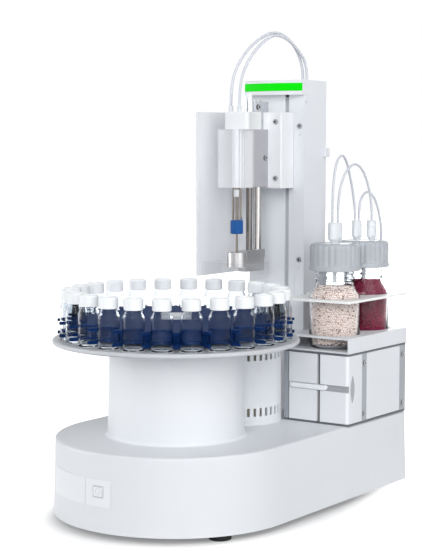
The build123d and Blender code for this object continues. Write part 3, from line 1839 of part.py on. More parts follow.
with BuildPart() as gas_tube_middle:
    add(tube_along(gas_middle_route, gas_tube_radius, head_y, 0))
write(gas_tube_middle, "gas_tube_middle")

with BuildPart() as gas_tube_rear:
    add(tube_along(gas_rear_route, gas_tube_radius, head_y, 0))
write(gas_tube_rear, "gas_tube_rear")
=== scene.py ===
"""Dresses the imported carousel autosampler: studio, finishes, tubes and the finer pieces."""

from __future__ import annotations

import json
import logging
import math
import random
from dataclasses import dataclass, field
from enum import Enum
from typing import Any, Iterable, Sequence

import bmesh
import bpy
from bmesh.types import BMesh
from bpy.types import Material, Node, NodeSocket, NodeTree
from mathutils import Matrix, Vector

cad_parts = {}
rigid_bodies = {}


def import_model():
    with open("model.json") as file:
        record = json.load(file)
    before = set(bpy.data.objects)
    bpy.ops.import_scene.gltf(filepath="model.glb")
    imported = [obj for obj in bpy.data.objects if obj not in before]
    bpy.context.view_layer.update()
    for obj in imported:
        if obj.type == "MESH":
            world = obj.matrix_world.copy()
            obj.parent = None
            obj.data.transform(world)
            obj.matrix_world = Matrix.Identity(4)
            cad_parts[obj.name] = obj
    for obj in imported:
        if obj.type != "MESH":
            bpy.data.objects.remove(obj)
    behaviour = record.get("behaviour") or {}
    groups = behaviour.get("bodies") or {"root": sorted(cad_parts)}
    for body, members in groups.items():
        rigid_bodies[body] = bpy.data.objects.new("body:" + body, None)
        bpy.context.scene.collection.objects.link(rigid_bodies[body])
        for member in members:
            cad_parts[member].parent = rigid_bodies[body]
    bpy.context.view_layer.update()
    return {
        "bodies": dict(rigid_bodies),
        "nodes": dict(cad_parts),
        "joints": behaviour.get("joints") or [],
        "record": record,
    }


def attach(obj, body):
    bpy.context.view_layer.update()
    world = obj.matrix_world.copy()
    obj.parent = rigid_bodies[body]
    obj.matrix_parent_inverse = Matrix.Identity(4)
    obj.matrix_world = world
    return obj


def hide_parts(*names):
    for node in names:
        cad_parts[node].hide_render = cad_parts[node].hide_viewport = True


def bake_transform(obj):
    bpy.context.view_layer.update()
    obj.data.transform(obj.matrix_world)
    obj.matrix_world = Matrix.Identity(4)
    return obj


LOG = logging.getLogger("autosampler")
# Metres in a millimetre, and the carousel axis's place to the rear in millimetres.
MM = 0.001
AXIS_Y = -69.0
Point = tuple[float, float, float]
Pair = tuple[float, float]
Colour = tuple[int, int, int]
Inputs = dict[str | int, Any]


def linear(colour: Colour) -> tuple[float, ...]:
    """Turns a screen colour of 0 to 255 into the shader's linear one, with an alpha of one."""
    shares = [value / 255 for value in colour]
    return (*(s / 12.92 if s <= 0.04045 else ((s + 0.055) / 1.055) ** 2.4 for s in shares), 1.0)


def spot(x: float, y: float, z: float) -> Vector:
    """Gives a place in metres from millimetres, with y counted from the carousel axis."""
    return Vector((x * MM, (y + AXIS_Y) * MM, z * MM))


def upright(place: Pair) -> Matrix:
    """Gives the shift from the origin to an upright axis."""
    return Matrix.Translation(spot(*place, 0.0))


def linked(name: str, data: Any) -> bpy.types.Object:
    """Makes an object of a mesh, curve, lamp or camera and puts it in the scene."""
    made = bpy.data.objects.new(name, data)
    bpy.context.scene.collection.objects.link(made)
    return made


# Shader kit


class Grain(Enum):
    """How the surface's small marks run."""

    PAINT = "paint"
    MOULDED = "moulded"
    BRUSHED_X = "brushed_x"
    BRUSHED_Z = "brushed_z"
    RUBBER = "rubber"
    WOOL = "wool"
    POLISHED = "polished"


# How far the marks are drawn out; those of the other grains are as long as they are wide.
GRAIN_STRETCH: dict[Grain, Point] = {
    Grain.BRUSHED_X: (0.04, 1.0, 1.0),
    Grain.BRUSHED_Z: (1.0, 1.0, 0.04),
    Grain.WOOL: (1.0, 1.0, 0.3),
}
EVEN_GRAIN: Point = (1.0, 1.0, 1.0)
RELIEF_STRENGTH = 0.6
# A thin clear sheet closes towards its edges: blend of the angle, power, share added and most of all.
EDGE_BLEND, EDGE_POWER, EDGE_SHARE, EDGE_LIMIT = 0.35, 3.0, 0.5, 0.96
CLEAR_SHADOW = (0.95, 0.955, 0.96, 1.0)
# Place of the first number and of the first colour among a Mix node's inputs, and of each result.
MIX_NUMBER, MIX_COLOUR = (2, 0), (6, 2)


class NodeSheet:
    """A small helper that lays out and wires the nodes of one tree."""

    def __init__(self, tree: NodeTree) -> None:
        """Keeps the tree of a material, a world or a group."""
        self.tree = tree
        self.count = 0

    def add(self, kind: str, inputs: Inputs | None = None, **settings: Any) -> Node:
        """Adds a node.

        Args:
            kind: The node's class name.
            inputs: Values or sockets for its inputs, by name or place.
            settings: Its own properties.

        Returns:
            The new node.
        """
        node = self.tree.nodes.new(kind)
        node.location = (self.count * 60, -(self.count % 6) * 120)
        self.count += 1
        for key, value in settings.items():
            setattr(node, key, value)
        self.fill(node, inputs or {})
        return node

    def fill(self, node: Node, inputs: Inputs) -> None:
        """Sets a node's inputs to plain values, and links those whose value is a socket.

        Args:
            node: The node.
            inputs: Values or sockets for its inputs, by name or place.
        """
        for key, value in inputs.items():
            if isinstance(value, NodeSocket):
                self.tree.links.new(value, node.inputs[key])
            else:
                node.inputs[key].default_value = value

    def math(self, operation: str, *values: Any) -> NodeSocket:
        """Adds a Math node on numbers or sockets and gives its output."""
        return self.add("ShaderNodeMath", dict(enumerate(values)), operation=operation).outputs[0]

    def mix(self, factor: Any, first: Any, second: Any, colours: bool = False) -> NodeSocket:
        """Mixes two numbers or two colours.

        Args:
            factor: Share of the second.
            first: Number or colour at zero.
            second: Number or colour at one.
            colours: Whether colours are mixed.

        Returns:
            The mixed number or colour.
        """
        start, result = MIX_COLOUR if colours else MIX_NUMBER
        inputs = {0: factor, start: first, start + 1: second}
        return self.add("ShaderNodeMix", inputs, data_type="RGBA" if colours else "FLOAT").outputs[result]

    def ramp(self, value: Any, stops: Sequence[tuple[float, Colour]]) -> NodeSocket:
        """Adds a colour ramp.

        Args:
            value: The factor.
            stops: Positions with their screen colours.

        Returns:
            The ramp's colour.
        """
        node = self.add("ShaderNodeValToRGB", {0: value})
        band = node.color_ramp.elements
        while len(band) < len(stops):
            band.new(0.5)
        for element, (place, colour) in zip(band, stops):
            element.position = place
            element.color = linear(colour)
        return node.outputs[0]

    def seen(self) -> NodeSocket:
        """Gives one for rays that show a surface, be it straight, mirrored or through glass."""
        path = self.add("ShaderNodeLightPath").outputs
        seen = self.math("MAXIMUM", path["Is Camera Ray"], path["Is Glossy Ray"])
        return self.math("MAXIMUM", seen, path["Is Transmission Ray"])


def new_group(name: str, tree: str, inputs: dict[str, str], outputs: dict[str, str]) -> tuple[NodeSheet, Any]:
    """Starts a node group.

    Args:
        name: The group's name.
        tree: The kind of its tree.
        inputs: The inputs' names and kinds.
        outputs: The outputs' names and kinds.

    Returns:
        The group's sheet and what comes in.
    """
    group = bpy.data.node_groups.new(name, tree)
    for way, sockets in (("INPUT", inputs), ("OUTPUT", outputs)):
        for label, kind in sockets.items():
            group.interface.new_socket(name=label, in_out=way, socket_type="NodeSocket" + kind)
    sheet = NodeSheet(group)
    return sheet, sheet.add("NodeGroupInput").outputs


class SurfaceKit:
    """The shared node groups, built once."""

    def __init__(self) -> None:
        """Builds the groups."""
        self.grain = self._grain()
        self.outline = self._outline()

    def _grain(self) -> NodeTree:
        """Builds the group for cloudy colour, fine relief and uneven gloss.

        Returns:
            The group, which puts out a colour, a roughness and a height.
        """
        numbers = ("Cloud size", "Grain size", "Gloss low", "Gloss high")
        inputs = {"Vector": "Vector", "Light": "Color", "Dark": "Color", **dict.fromkeys(numbers, "Float")}
        outputs = {"Colour": "Color", "Roughness": "Float", "Height": "Float"}
        sheet, given = new_group("surface_grain", "ShaderNodeTree", inputs, outputs)
        cloud, fine = (
            sheet.add(
                "ShaderNodeTexNoise", {"Vector": given["Vector"], "Scale": given[size], "Detail": detail}
            ).outputs["Fac"]
            for size, detail in (("Cloud size", 4.0), ("Grain size", 3.0))
        )
        clouds = {"Value": cloud, "From Min": 0.3, "From Max": 0.7}
        patchy = sheet.add("ShaderNodeMapRange", clouds).outputs["Result"]
        gritty = sheet.math("MULTIPLY_ADD", fine, 0.5, -0.25)
        mask = sheet.math("ADD", patchy, gritty)
        limits = {"Value": mask, "To Min": given["Gloss low"], "To Max": given["Gloss high"]}
        made = {
            "Colour": sheet.mix(mask, given["Light"], given["Dark"], colours=True),
            "Roughness": sheet.add("ShaderNodeMapRange", limits).outputs["Result"],
            "Height": fine,
        }
        sheet.add("NodeGroupOutput", made)
        return sheet.tree

    def _outline(self) -> NodeTree:
        """Builds the group that draws a rounded rectangle's outline on the plane of X and Z.

        Returns:
            The group, which puts out a mask of one on the line.
        """
        sizes = dict.fromkeys(("Half width", "Half height", "Corner", "Line"), "Float")
        inputs = {"Vector": "Vector", **sizes}
        sheet, given = new_group("rounded_outline", "ShaderNodeTree", inputs, {"Mask": "Float"})
        parts = sheet.add("ShaderNodeSeparateXYZ", {0: given["Vector"]}).outputs
        legs = []
        for axis, half in (("X", "Half width"), ("Z", "Half height")):
            reach = sheet.math("SUBTRACT", given[half], given["Corner"])
            legs.append(sheet.math("SUBTRACT", sheet.math("ABSOLUTE", parts[axis]), reach))
        outer = [sheet.math("MAXIMUM", leg, 0.0) for leg in legs]
        squares = [sheet.math("MULTIPLY", leg, leg) for leg in outer]
        length = sheet.math("SQRT", sheet.math("ADD", *squares))
        inner = sheet.math("MINIMUM", sheet.math("MAXIMUM", *legs), 0.0)
        distance = sheet.math("SUBTRACT", sheet.math("ADD", length, inner), given["Corner"])
        near = sheet.math("DIVIDE", sheet.math("ABSOLUTE", distance), given["Line"])
        mask = sheet.math("SUBTRACT", 1.5, near)
        mask.node.use_clamp = True
        sheet.add("NodeGroupOutput", {"Mask": mask})
        return sheet.tree


@dataclass(frozen=True)
class Finish:
    """One opaque or see-through finish, with its grain and gloss."""

    name: str
    colour: Colour
    rough: float = 0.45
    grain: Grain = Grain.MOULDED
    grain_size: float = 1400.0
    relief: float = 0.02
    cloud: float = 0.03
    cloud_size: float = 14.0
    spread: float = 0.08
    metal: float = 0.0
    through: float = 0.0
    ior: float = 1.45
    specular: float = 0.5
    glow: float = 0.0
    alpha: float = 1.0

    def grain_inputs(self, vector: NodeSocket) -> Inputs:
        """Gives what the grain group needs for this finish.

        Args:
            vector: Where the grain is looked up.

        Returns:
            The group's inputs, with a lighter and a darker colour.
        """
        base = linear(self.colour)[:3]
        light, dark = (
            (*(min(1.0, value * share) for value in base), 1.0) for share in (1 + self.cloud, 1 - self.cloud)
        )
        return {
            "Vector": vector,
            "Light": light,
            "Dark": dark,
            "Cloud size": self.cloud_size,
            "Grain size": self.grain_size,
            "Gloss low": max(0.01, self.rough - self.spread / 2),
            "Gloss high": self.rough + self.spread / 2,
        }

    def start(self, kit: SurfaceKit) -> tuple[Material, NodeSheet, Node, Any, NodeSocket]:
        """Makes the material with its shader, mapped grain and relief.

        Args:
            kit: The shared groups.

        Returns:
            The material, its sheet, the shader, the grain's outputs and the object coordinates.
        """
        made = bpy.data.materials.new(self.name)
        made.use_nodes = True
        sheet = NodeSheet(made.node_tree)
        shader = made.node_tree.nodes["Principled BSDF"]
        where = sheet.add("ShaderNodeTexCoord").outputs["Object"]
        stretch = {"Scale": GRAIN_STRETCH.get(self.grain, EVEN_GRAIN), "Vector": where}
        mapped = sheet.add("ShaderNodeMapping", stretch).outputs["Vector"]
        grain = sheet.add("ShaderNodeGroup", node_tree=kit.grain)
        sheet.fill(grain, self.grain_inputs(mapped))
        surface = {
            "Metallic": self.metal,
            "IOR": self.ior,
            "Transmission Weight": self.through,
            "Specular IOR Level": self.specular,
            "Base Color": grain.outputs["Colour"],
            "Roughness": grain.outputs["Roughness"],
        }
        if self.relief > 0:
            height = {"Distance": self.relief * MM, "Height": grain.outputs["Height"]}
            bump = sheet.add("ShaderNodeBump", {"Strength": RELIEF_STRENGTH, **height})
            surface["Normal"] = bump.outputs["Normal"]
        if self.glow > 0:
            surface |= {"Emission Strength": self.glow, "Emission Color": grain.outputs["Colour"]}
        if self.alpha < 1:
            facing = sheet.add("ShaderNodeLayerWeight", {"Blend": EDGE_BLEND}).outputs["Facing"]
            rim = sheet.math("POWER", facing, EDGE_POWER)
            seen = sheet.math("MULTIPLY_ADD", rim, EDGE_SHARE * (1 - self.alpha), self.alpha)
            surface["Alpha"] = sheet.math("MINIMUM", seen, EDGE_LIMIT)
        sheet.fill(shader, surface)
        if self.through > 0:
            self.let_light_in(sheet, shader)
        return made, sheet, shader, grain.outputs, where

    def let_light_in(self, sheet: NodeSheet, shader: Node) -> None:
        """Lets light reach what stands behind a clear wall.

        Args:
            sheet: The material's sheet.
            shader: Its main shader.
        """
        path = sheet.add("ShaderNodeLightPath").outputs
        clear = sheet.add("ShaderNodeBsdfTransparent", {"Color": CLEAR_SHADOW}).outputs[0]
        share = sheet.math("MULTIPLY", path["Is Shadow Ray"], self.through)
        mix = sheet.add("ShaderNodeMixShader", {0: share, 1: shader.outputs[0], 2: clear}).outputs[0]
        sheet.fill(sheet.tree.nodes["Material Output"], {"Surface": mix})

    def build(self, kit: SurfaceKit) -> Material:
        """Makes the finished material from the shared groups."""
        return self.start(kit)[0]


@dataclass(frozen=True)
class KeyFilm(Finish):
    """The touch key's film, with its printed rounded outline and the ring inside it."""

    centre: Point = (0.0, 0.0, 47.9)
    line: Colour = (160, 164, 170)
    # Half width, half height, corner and line in millimetres, and strength.
    prints: tuple[tuple[float, ...], ...] = ((5.9, 5.0, 1.6, 0.32, 0.9), (2.6, 3.0, 2.2, 0.26, 0.55))

    def build(self, kit: SurfaceKit) -> Material:
        """Makes the film with its printed outlines.

        Args:
            kit: The shared groups.

        Returns:
            The finished material.
        """
        made, sheet, shader, grain, where = self.start(kit)
        shift = (-self.centre[0], 0.0, -self.centre[2])
        place = {"Scale": (1 / MM, 1 / MM, 1 / MM), "Location": shift, "Vector": where}
        mapped = sheet.add("ShaderNodeMapping", place).outputs["Vector"]
        colour = grain["Colour"]
        for *sizes, share in self.prints:
            drawn = sheet.add("ShaderNodeGroup", node_tree=kit.outline)
            sheet.fill(drawn, {"Vector": mapped, **dict(enumerate(sizes, 1))})
            factor = sheet.math("MULTIPLY", drawn.outputs["Mask"], share)
            colour = sheet.mix(factor, colour, linear(self.line), colours=True)
        sheet.fill(shader, {"Base Color": colour})
        return made


@dataclass(frozen=True)
class BeadFinish(Finish):
    """Desiccant beads, each with its own shade, with darker speckles among them."""

    stops: tuple[tuple[float, Colour], ...] = ()

    def build(self, kit: SurfaceKit) -> Material:
        """Makes the bead material from the shade painted on each bead.

        Args:
            kit: The shared groups.

        Returns:
            The finished material.
        """
        made, sheet, shader, _, _ = self.start(kit)
        shade = sheet.add("ShaderNodeAttribute", attribute_name="shade").outputs["Fac"]
        sheet.fill(shader, {"Base Color": sheet.ramp(shade, self.stops)})
        return made


@dataclass(frozen=True)
class Region:
    """A box-shaped region in millimetres, with y counted from the carousel axis."""

    x: Pair | None = None
    y: Pair | None = None
    z: Pair | None = None

    def mask(self, sheet: NodeSheet, parts: Any) -> NodeSocket:
        """Gives a mask that is one inside the region.

        Args:
            sheet: The material's sheet.
            parts: The object coordinates' separate axes.

        Returns:
            The mask.
        """
        found: NodeSocket | None = None
        for axis, limits, shift in (("X", self.x, 0.0), ("Y", self.y, AXIS_Y), ("Z", self.z, 0.0)):
            if limits is None:
                continue
            above = sheet.math("GREATER_THAN", parts[axis], (limits[0] + shift) * MM)
            below = sheet.math("LESS_THAN", parts[axis], (limits[1] + shift) * MM)
            both = sheet.math("MULTIPLY", above, below)
            found = both if found is None else sheet.math("MULTIPLY", found, both)
        return found


@dataclass(frozen=True)
class TwoTone(Finish):
    """A finish that turns into others inside some regions of the piece."""

    layers: tuple[tuple[Finish, tuple[Region, ...]], ...] = ()

    def build(self, kit: SurfaceKit) -> Material:
        """Makes the material with its finishes.

        Args:
            kit: The shared groups.

        Returns:
            The finished material.
        """
        made, sheet, shader, grain, where = self.start(kit)
        parts = sheet.add("ShaderNodeSeparateXYZ", {0: where}).outputs
        tint, gloss, metal = grain["Colour"], grain["Roughness"], self.metal
        for other, regions in self.layers:
            mask = regions[0].mask(sheet, parts)
            for region in regions[1:]:
                mask = sheet.math("MAXIMUM", mask, region.mask(sheet, parts))
            second = sheet.add("ShaderNodeGroup", node_tree=kit.grain)
            sheet.fill(second, other.grain_inputs(where))
            tint = sheet.mix(mask, tint, second.outputs["Colour"], colours=True)
            gloss = sheet.mix(mask, gloss, second.outputs["Roughness"])
            metal = sheet.mix(mask, metal, other.metal)
        sheet.fill(shader, {"Base Color": tint, "Roughness": gloss})
        if any(other.metal != self.metal for other, _ in self.layers):
            sheet.fill(shader, {"Metallic": metal})
        return made


# After the colour: roughness, grain, grain size, relief, cloud, cloud size, spread of gloss and metal.
FINISH_LIST: tuple[Finish, ...] = (
    Finish("body_white", (224, 227, 231), 0.42, Grain.PAINT, 1600, 0.012, 0.012, 9.0),
    Finish("sheet_white", (223, 226, 231), 0.4, Grain.PAINT, 1800, 0.01, 0.012, 8.0),
    Finish("box_white", (220, 223, 228), 0.42, Grain.PAINT, 1700, 0.01, 0.012, 10),
    Finish("disc_grey", (190, 193, 198), 0.36, Grain.MOULDED, 1500, 0.01, 0.02, 10),
    Finish("plate_steel", (176, 178, 181), 0.34, Grain.BRUSHED_X, 1500, 0.01, 0.05, 10, 0.15, 1.0),
    Finish("foot_rubber", (24, 25, 27), 0.75, Grain.RUBBER, 700, 0.08, 0.15, 40),
    Finish("panel_film", (225, 228, 232), 0.35, Grain.MOULDED, 1900, 0.006, 0.01),
    KeyFilm("key_film", (226, 229, 233), 0.32, Grain.MOULDED, 1900, 0.006, 0.01),
    Finish("board_green", (22, 92, 58), 0.35, Grain.MOULDED, 1100, 0.02, 0.12, 60),
    Finish("inlet_black", (28, 28, 30), 0.5, Grain.MOULDED, 1300, 0.03, 0.1, 30),
    Finish("bare_aluminium", (196, 198, 201), 0.36, Grain.BRUSHED_Z, 1300, 0.01, 0.06, 14, 0.14, 1.0),
    Finish("bright_steel", (170, 168, 167), 0.2, Grain.BRUSHED_Z, 1500, 0.004, 0.05, metal=1.0),
    Finish("bush_steel", (200, 203, 208), 0.25, Grain.BRUSHED_Z, 1500, 0.005, 0.05, 14, 0.1, 1.0),
    Finish("foot_steel", (188, 187, 188), 0.3, Grain.BRUSHED_Z, 1300, 0.008, 0.06, 18, 0.12, 0.8),
    Finish("motor_black", (34, 34, 36), 0.42, Grain.PAINT, 1300, 0.02, 0.1, 30),
    Finish("gear_brass", (196, 164, 92), 0.3, Grain.BRUSHED_Z, 1300, 0.006, 0.08, 20, 0.12, 1.0),
    Finish("rack_blue", (2, 36, 82), 0.66, Grain.PAINT, 1500, 0.008, 0.08, 16, 0.1, specular=0.1),
    Finish(
        "vial_glass", (236, 239, 242), 0.02, Grain.POLISHED, 300, 0.0, 0.004, 12, 0.02, through=1.0, ior=1.14
    ),
    # The caps' glow is painted light: white caps that glow though they are no lamp.
    Finish("vial_cap_white", (226, 229, 232), 0.38, Grain.MOULDED, 1500, 0.012, 0.015, 40, glow=0.1),
    Finish("septum_rubber", (232, 228, 220), 0.6, Grain.RUBBER, 1500, 0.03, 0.04, 80),
    Finish("insulation_wool", (222, 214, 190), 0.95, Grain.WOOL, 500, 0.5, 0.18, 60),
    Finish("light_green", (0, 214, 4), 0.5, Grain.MOULDED, 900, 0.01, 0.03, 30, specular=0.1, glow=0.16),
    Finish("guard_clear", (206, 211, 216), 0.06, Grain.POLISHED, 700, 0.0, 0.01, 12, 0.04, alpha=0.035),
    # Frosted pale plastic, set lighter than the body white as painted light for the shade on the side shield.
    Finish("guard_frosted", (238, 240, 244), 0.32, Grain.MOULDED, 900, 0.02, 0.015, 14, 0.1, alpha=0.8),
    Finish(
        "fitting_white", (228, 232, 236), 0.3, Grain.MOULDED, 1300, 0.01, 0.015, 40, through=0.25, ior=1.4
    ),
    Finish("knob_blue", (12, 82, 150), 0.42, cloud=0.05, cloud_size=50, specular=0.3),
    Finish(
        "bottle_clear", (236, 238, 240), 0.04, Grain.POLISHED, 500, 0.0, 0.006, 12, 0.03,
        through=1.0, ior=1.25,
    ),
    Finish("cap_grey", (172, 177, 184), 0.38, Grain.MOULDED, 1300, 0.015, 0.015, 24),
    Finish("slot_grey", (178, 181, 186), 0.6, Grain.BRUSHED_Z, 1300, 0.01, 0.03),
    Finish("hose_clear", (204, 207, 215), 0.36, Grain.MOULDED, 900, 0.0, 0.02, 30),
)
FINISHES: dict[str, Finish] = {made.name: made for made in FINISH_LIST}

# Painted shade: a dark steel for the insides of screw sockets and round their heads, where shade falls.
SOCKET_SHADE = Finish("socket_painted_shade", (62, 61, 62), 0.5, Grain.BRUSHED_X, 1800, 0.0, 0.05, 60, 0.1, 0.3)
SLEEVE_WHITE = Finish("sleeve_white", (216, 219, 224), 0.34, Grain.MOULDED, 1500, 0.0, 0.015, 20)
# Bare metal of the web's right side, darkened with painted shade from the guard and the plate.
WEB_METAL_AND_SHADE = Finish("web_metal_painted_shade", (176, 176, 181), 0.42, Grain.BRUSHED_Z, 1300, 0.0, 0.05, 20, 0.12, 0.5)
# Painted dark reflection: the front guide rod's steel is darker than the rear rod's.
FRONT_ROD_REFLECTION = Finish("front_rod_painted_reflection", (112, 109, 108), 0.2, Grain.BRUSHED_Z, 1500, 0.0, 0.05, metal=1.0)
ROD_CAP = Finish("rod_cap_white", (232, 234, 237), 0.4, Grain.MOULDED, 1500, 0.0, 0.015, 20)
# Painted shade for the gaps under, over and beside the drying box's doors.
GAP_SHADE = Finish("gap_painted_shade", (96, 98, 102), 0.6, Grain.PAINT, 1500, 0.0, 0.04, 20)
# Painted light: a lighter copy of the box white for the corner cover's front face.
COVER_FRONT_LIT = Finish("cover_front_painted_light", (230, 232, 236), 0.42, Grain.PAINT, 1700, 0.0, 0.012, 10)
# Painted shade for the deep groove of the door handle.
GROOVE_SHADE = Finish("groove_painted_shade", (168, 170, 174), 0.5, Grain.PAINT, 1700, 0.0, 0.02, 10)


def screw_finish(name: str, *sockets: Region) -> TwoTone:
    """Gives the steel of screws, darkened with painted shade inside their sockets."""
    steel = (name, (172, 173, 176), 0.36, Grain.BRUSHED_X, 1800, 0.0, 0.08, 60, 0.12, 0.85)
    return TwoTone(*steel, layers=((SOCKET_SHADE, sockets),))


# Finishes of the nodes that differ from the others of their slot.
NODE_FINISHES: dict[str, Finish] = {
    "base_housing": Finish("base_paint", (217, 220, 224), 0.42, Grain.PAINT, 1600, 0.012, 0.012, 9.0),
    # The door's white is set lighter than the box white, as painted light on its front.
    "left_door": Finish("door_white_painted_light", (230, 232, 236), 0.42, Grain.PAINT, 1700, 0.01, 0.012, 10),
    "door_handle": Finish("handle_white", (240, 242, 245), 0.36, Grain.MOULDED, 1700, 0.01, 0.01, 10),
    "retaining_plate": Finish("plate_white", (246, 246, 246), 0.36, Grain.MOULDED, 1700, 0.006, 0.01, 10),
    # The clear guard's glow is painted light that brightens it.
    "needle_guard": Finish(
        "needle_clear_painted_glow", (246, 248, 250), 0.2, Grain.MOULDED, 900, 0.0, 0.012, 14, 0.06, glow=0.55, alpha=0.08
    ),
    # The screws' sockets and the sides of their heads are darkened with painted shade.
    "cover_screws": screw_finish(
        "cover_screw_steel", Region(y=(187.35, 188.45)), Region(x=(127, 128.9), y=(130, 270))
    ),
    # The screws' sockets and the sides of their heads are darkened with painted shade.
    "head_screws": screw_finish(
        "head_screw_steel", Region(y=(161.55, 162.65)), Region(x=(6.05, 7.15), y=(100, 161))
    ),
    "needle_tubes": TwoTone(
        "tube_steel", (120, 114, 110), 0.24, Grain.BRUSHED_Z, 1500, 0.0, 0.05, metal=1.0,
        layers=((SLEEVE_WHITE, (Region(z=(341, 410)),)),),
    ),
    # The head bracket's white is set lighter than the body white, as painted light for the shade it sits in.
    "head_bracket": TwoTone(
        "head_bracket_painted_light", (230, 232, 235), 0.4, Grain.PAINT, 1500, 0.015, 0.015, 12,
        # The web's right side: bare metal, darkened with painted shade.
        layers=((WEB_METAL_AND_SHADE, (Region(x=(5.4, 6.6), y=(100, 162.4), z=(330, 404.5)),)),),
    ),
    "guide_rods": TwoTone(
        "guide_rod_steel", (176, 174, 172), 0.2, Grain.BRUSHED_Z, 1500, 0.004, 0.05, metal=1.0,
        layers=(
            # The front rod is darkened as a painted reflection.
            (FRONT_ROD_REFLECTION, (Region(y=(120, 141.6), z=(200, 430)),)),
            (ROD_CAP, (Region(y=(120, 141.6), z=(435.5, 460)),)),
        ),
    ),
    "box_frame": TwoTone(
        "box_frame_paint", (158, 163, 170), 0.4, Grain.PAINT, 1600, 0.012, 0.02, 12,
        layers=(
            # Painted shade in the door gap and the thin gaps under and over the box.
            (GAP_SHADE, (
                Region(x=(80, 98), y=(136, 152)), Region(z=(84, 88.2)), Region(z=(162, 164.5)),
            )),
        ),
    ),
    "corner_cover": TwoTone(
        "corner_cover_paint", (220, 223, 228), 0.42, Grain.PAINT, 1700, 0.01, 0.012, 10,
        layers=(
            # The cover's front face is lighter, as painted light.
            (COVER_FRONT_LIT, (Region(y=(130, 137)),)),
            # The handle groove is darkened with painted shade.
            (GROOVE_SHADE, (
                Region(x=(90, 127.6), y=(136.4, 138.4), z=(122, 129.9)),
                Region(x=(126, 127.6), y=(138.6, 152), z=(108, 142)),
            )),
        ),
    ),
}


# Mesh kit

# Modifiers of the carried-over nodes: weld in metres, angles in degrees, and weight of large faces.
WELD, FLAT_ANGLE, BEVEL_ANGLE, SMOOTH_ANGLE, FACE_WEIGHT = 2e-6, 0.4, 32.0, 50.0, 90
SHARP = 35.0


def finish_mesh(bm: BMesh, name: str, sharp: float = SHARP) -> bpy.types.Object:
    """Turns a bmesh into an object with smooth faces and sharp corners.

    Args:
        bm: The shape, in metres and in place.
        name: The piece's name.
        sharp: Angle in degrees from which an edge stays crisp.

    Returns:
        The new object, at the origin.
    """
    limit = math.radians(sharp)
    for face in bm.faces:
        face.smooth = True
    for edge in bm.edges:
        edge.smooth = edge.calc_face_angle(0.0) < limit
    mesh = bpy.data.meshes.new(name)
    bm.to_mesh(mesh)
    bm.free()
    return linked(name, mesh)


def lathe(
    profile: Sequence[Pair],
    steps: int,
    rounding: float = 0.0,
    closed: bool = False,
    rounded: Iterable[int] = (),
) -> BMesh:
    """Spins a profile about the Z axis.

    Args:
        profile: Radii and heights in millimetres.
        steps: Number of steps round.
        rounding: Size in millimetres of the bevel at the rounded corners.
        closed: Whether the last point joins the first, as in a ring.
        rounded: Which points are rounded.

    Returns:
        The spun shape in metres, about the origin's Z axis.
    """
    bm = bmesh.new()
    points = [bm.verts.new((radius * MM, 0.0, height * MM)) for radius, height in profile]
    for before, after in zip(points, points[1:]):
        bm.edges.new((before, after))
    if closed:
        bm.edges.new((points[-1], points[0]))
    if rounding > 0:
        corners = [points[i] for i in rounded]
        bmesh.ops.bevel(
            bm, geom=corners, offset=rounding * MM, offset_type="OFFSET", affect="VERTICES", segments=3,
            profile=0.5, material=-1,
        )
    bmesh.ops.spin(
        bm, geom=list(bm.verts) + list(bm.edges), cent=(0.0, 0.0, 0.0), axis=(0.0, 0.0, 1.0),
        dvec=(0.0, 0.0, 0.0), angle=2 * math.pi, steps=steps, use_merge=True, use_duplicate=False,
    )
    bmesh.ops.remove_doubles(bm, verts=list(bm.verts), dist=1e-6)
    bmesh.ops.recalc_face_normals(bm, faces=list(bm.faces))
    return bm


def flute(bm: BMesh, count: int, depth: float, inner: float, z: Pair) -> BMesh:
    """Presses upright grooves into a spun wall.

    Args:
        bm: The spun shape, about the Z axis.
        count: Number of grooves.
        depth: Depth in millimetres.
        inner: Radius in millimetres outside which the wall is grooved.
        z: Lowest and highest height of the grooves in millimetres.

    Returns:
        The same shape.
    """
    for vert in bm.verts:
        radius = math.hypot(vert.co.x, vert.co.y)
        if radius <= inner * MM or not z[0] * MM <= vert.co.z <= z[1] * MM:
            continue
        angle = math.atan2(vert.co.y, vert.co.x)
        press = max(0.0, math.cos(count * angle)) * depth * MM
        share = (radius - press) / radius
        vert.co.x *= share
        vert.co.y *= share
    return bm


def flat(width: float, depth: float) -> BMesh:
    """Makes a flat rectangle of a width and a depth in metres about the origin."""
    bm = bmesh.new()
    bmesh.ops.create_grid(bm, x_segments=1, y_segments=1, size=0.5)
    bmesh.ops.scale(bm, vec=(width, depth, 1.0), verts=list(bm.verts))
    return bm


def moved(bm: BMesh, place: Matrix) -> BMesh:
    """Moves a whole shape and gives it back."""
    bmesh.ops.transform(bm, matrix=place, verts=list(bm.verts))
    return bm


def joined(*shapes: BMesh) -> BMesh:
    """Gathers several shapes into one bmesh.

    Args:
        shapes: The shapes, which are freed.

    Returns:
        One bmesh.
    """
    bm = bmesh.new()
    for shape in shapes:
        mesh = bpy.data.meshes.new("gathered")
        shape.to_mesh(mesh)
        shape.free()
        bm.from_mesh(mesh)
        bpy.data.meshes.remove(mesh)
    return bm


def repeated(pattern: BMesh, places: Sequence[Matrix]) -> BMesh:
    """Copies a shape to several places.

    Args:
        pattern: The shape, which is freed.
        places: Where the copies go.

    Returns:
        One bmesh with every copy.
    """
    copies = [moved(pattern.copy(), place) for place in places]
    pattern.free()
    return joined(*copies)


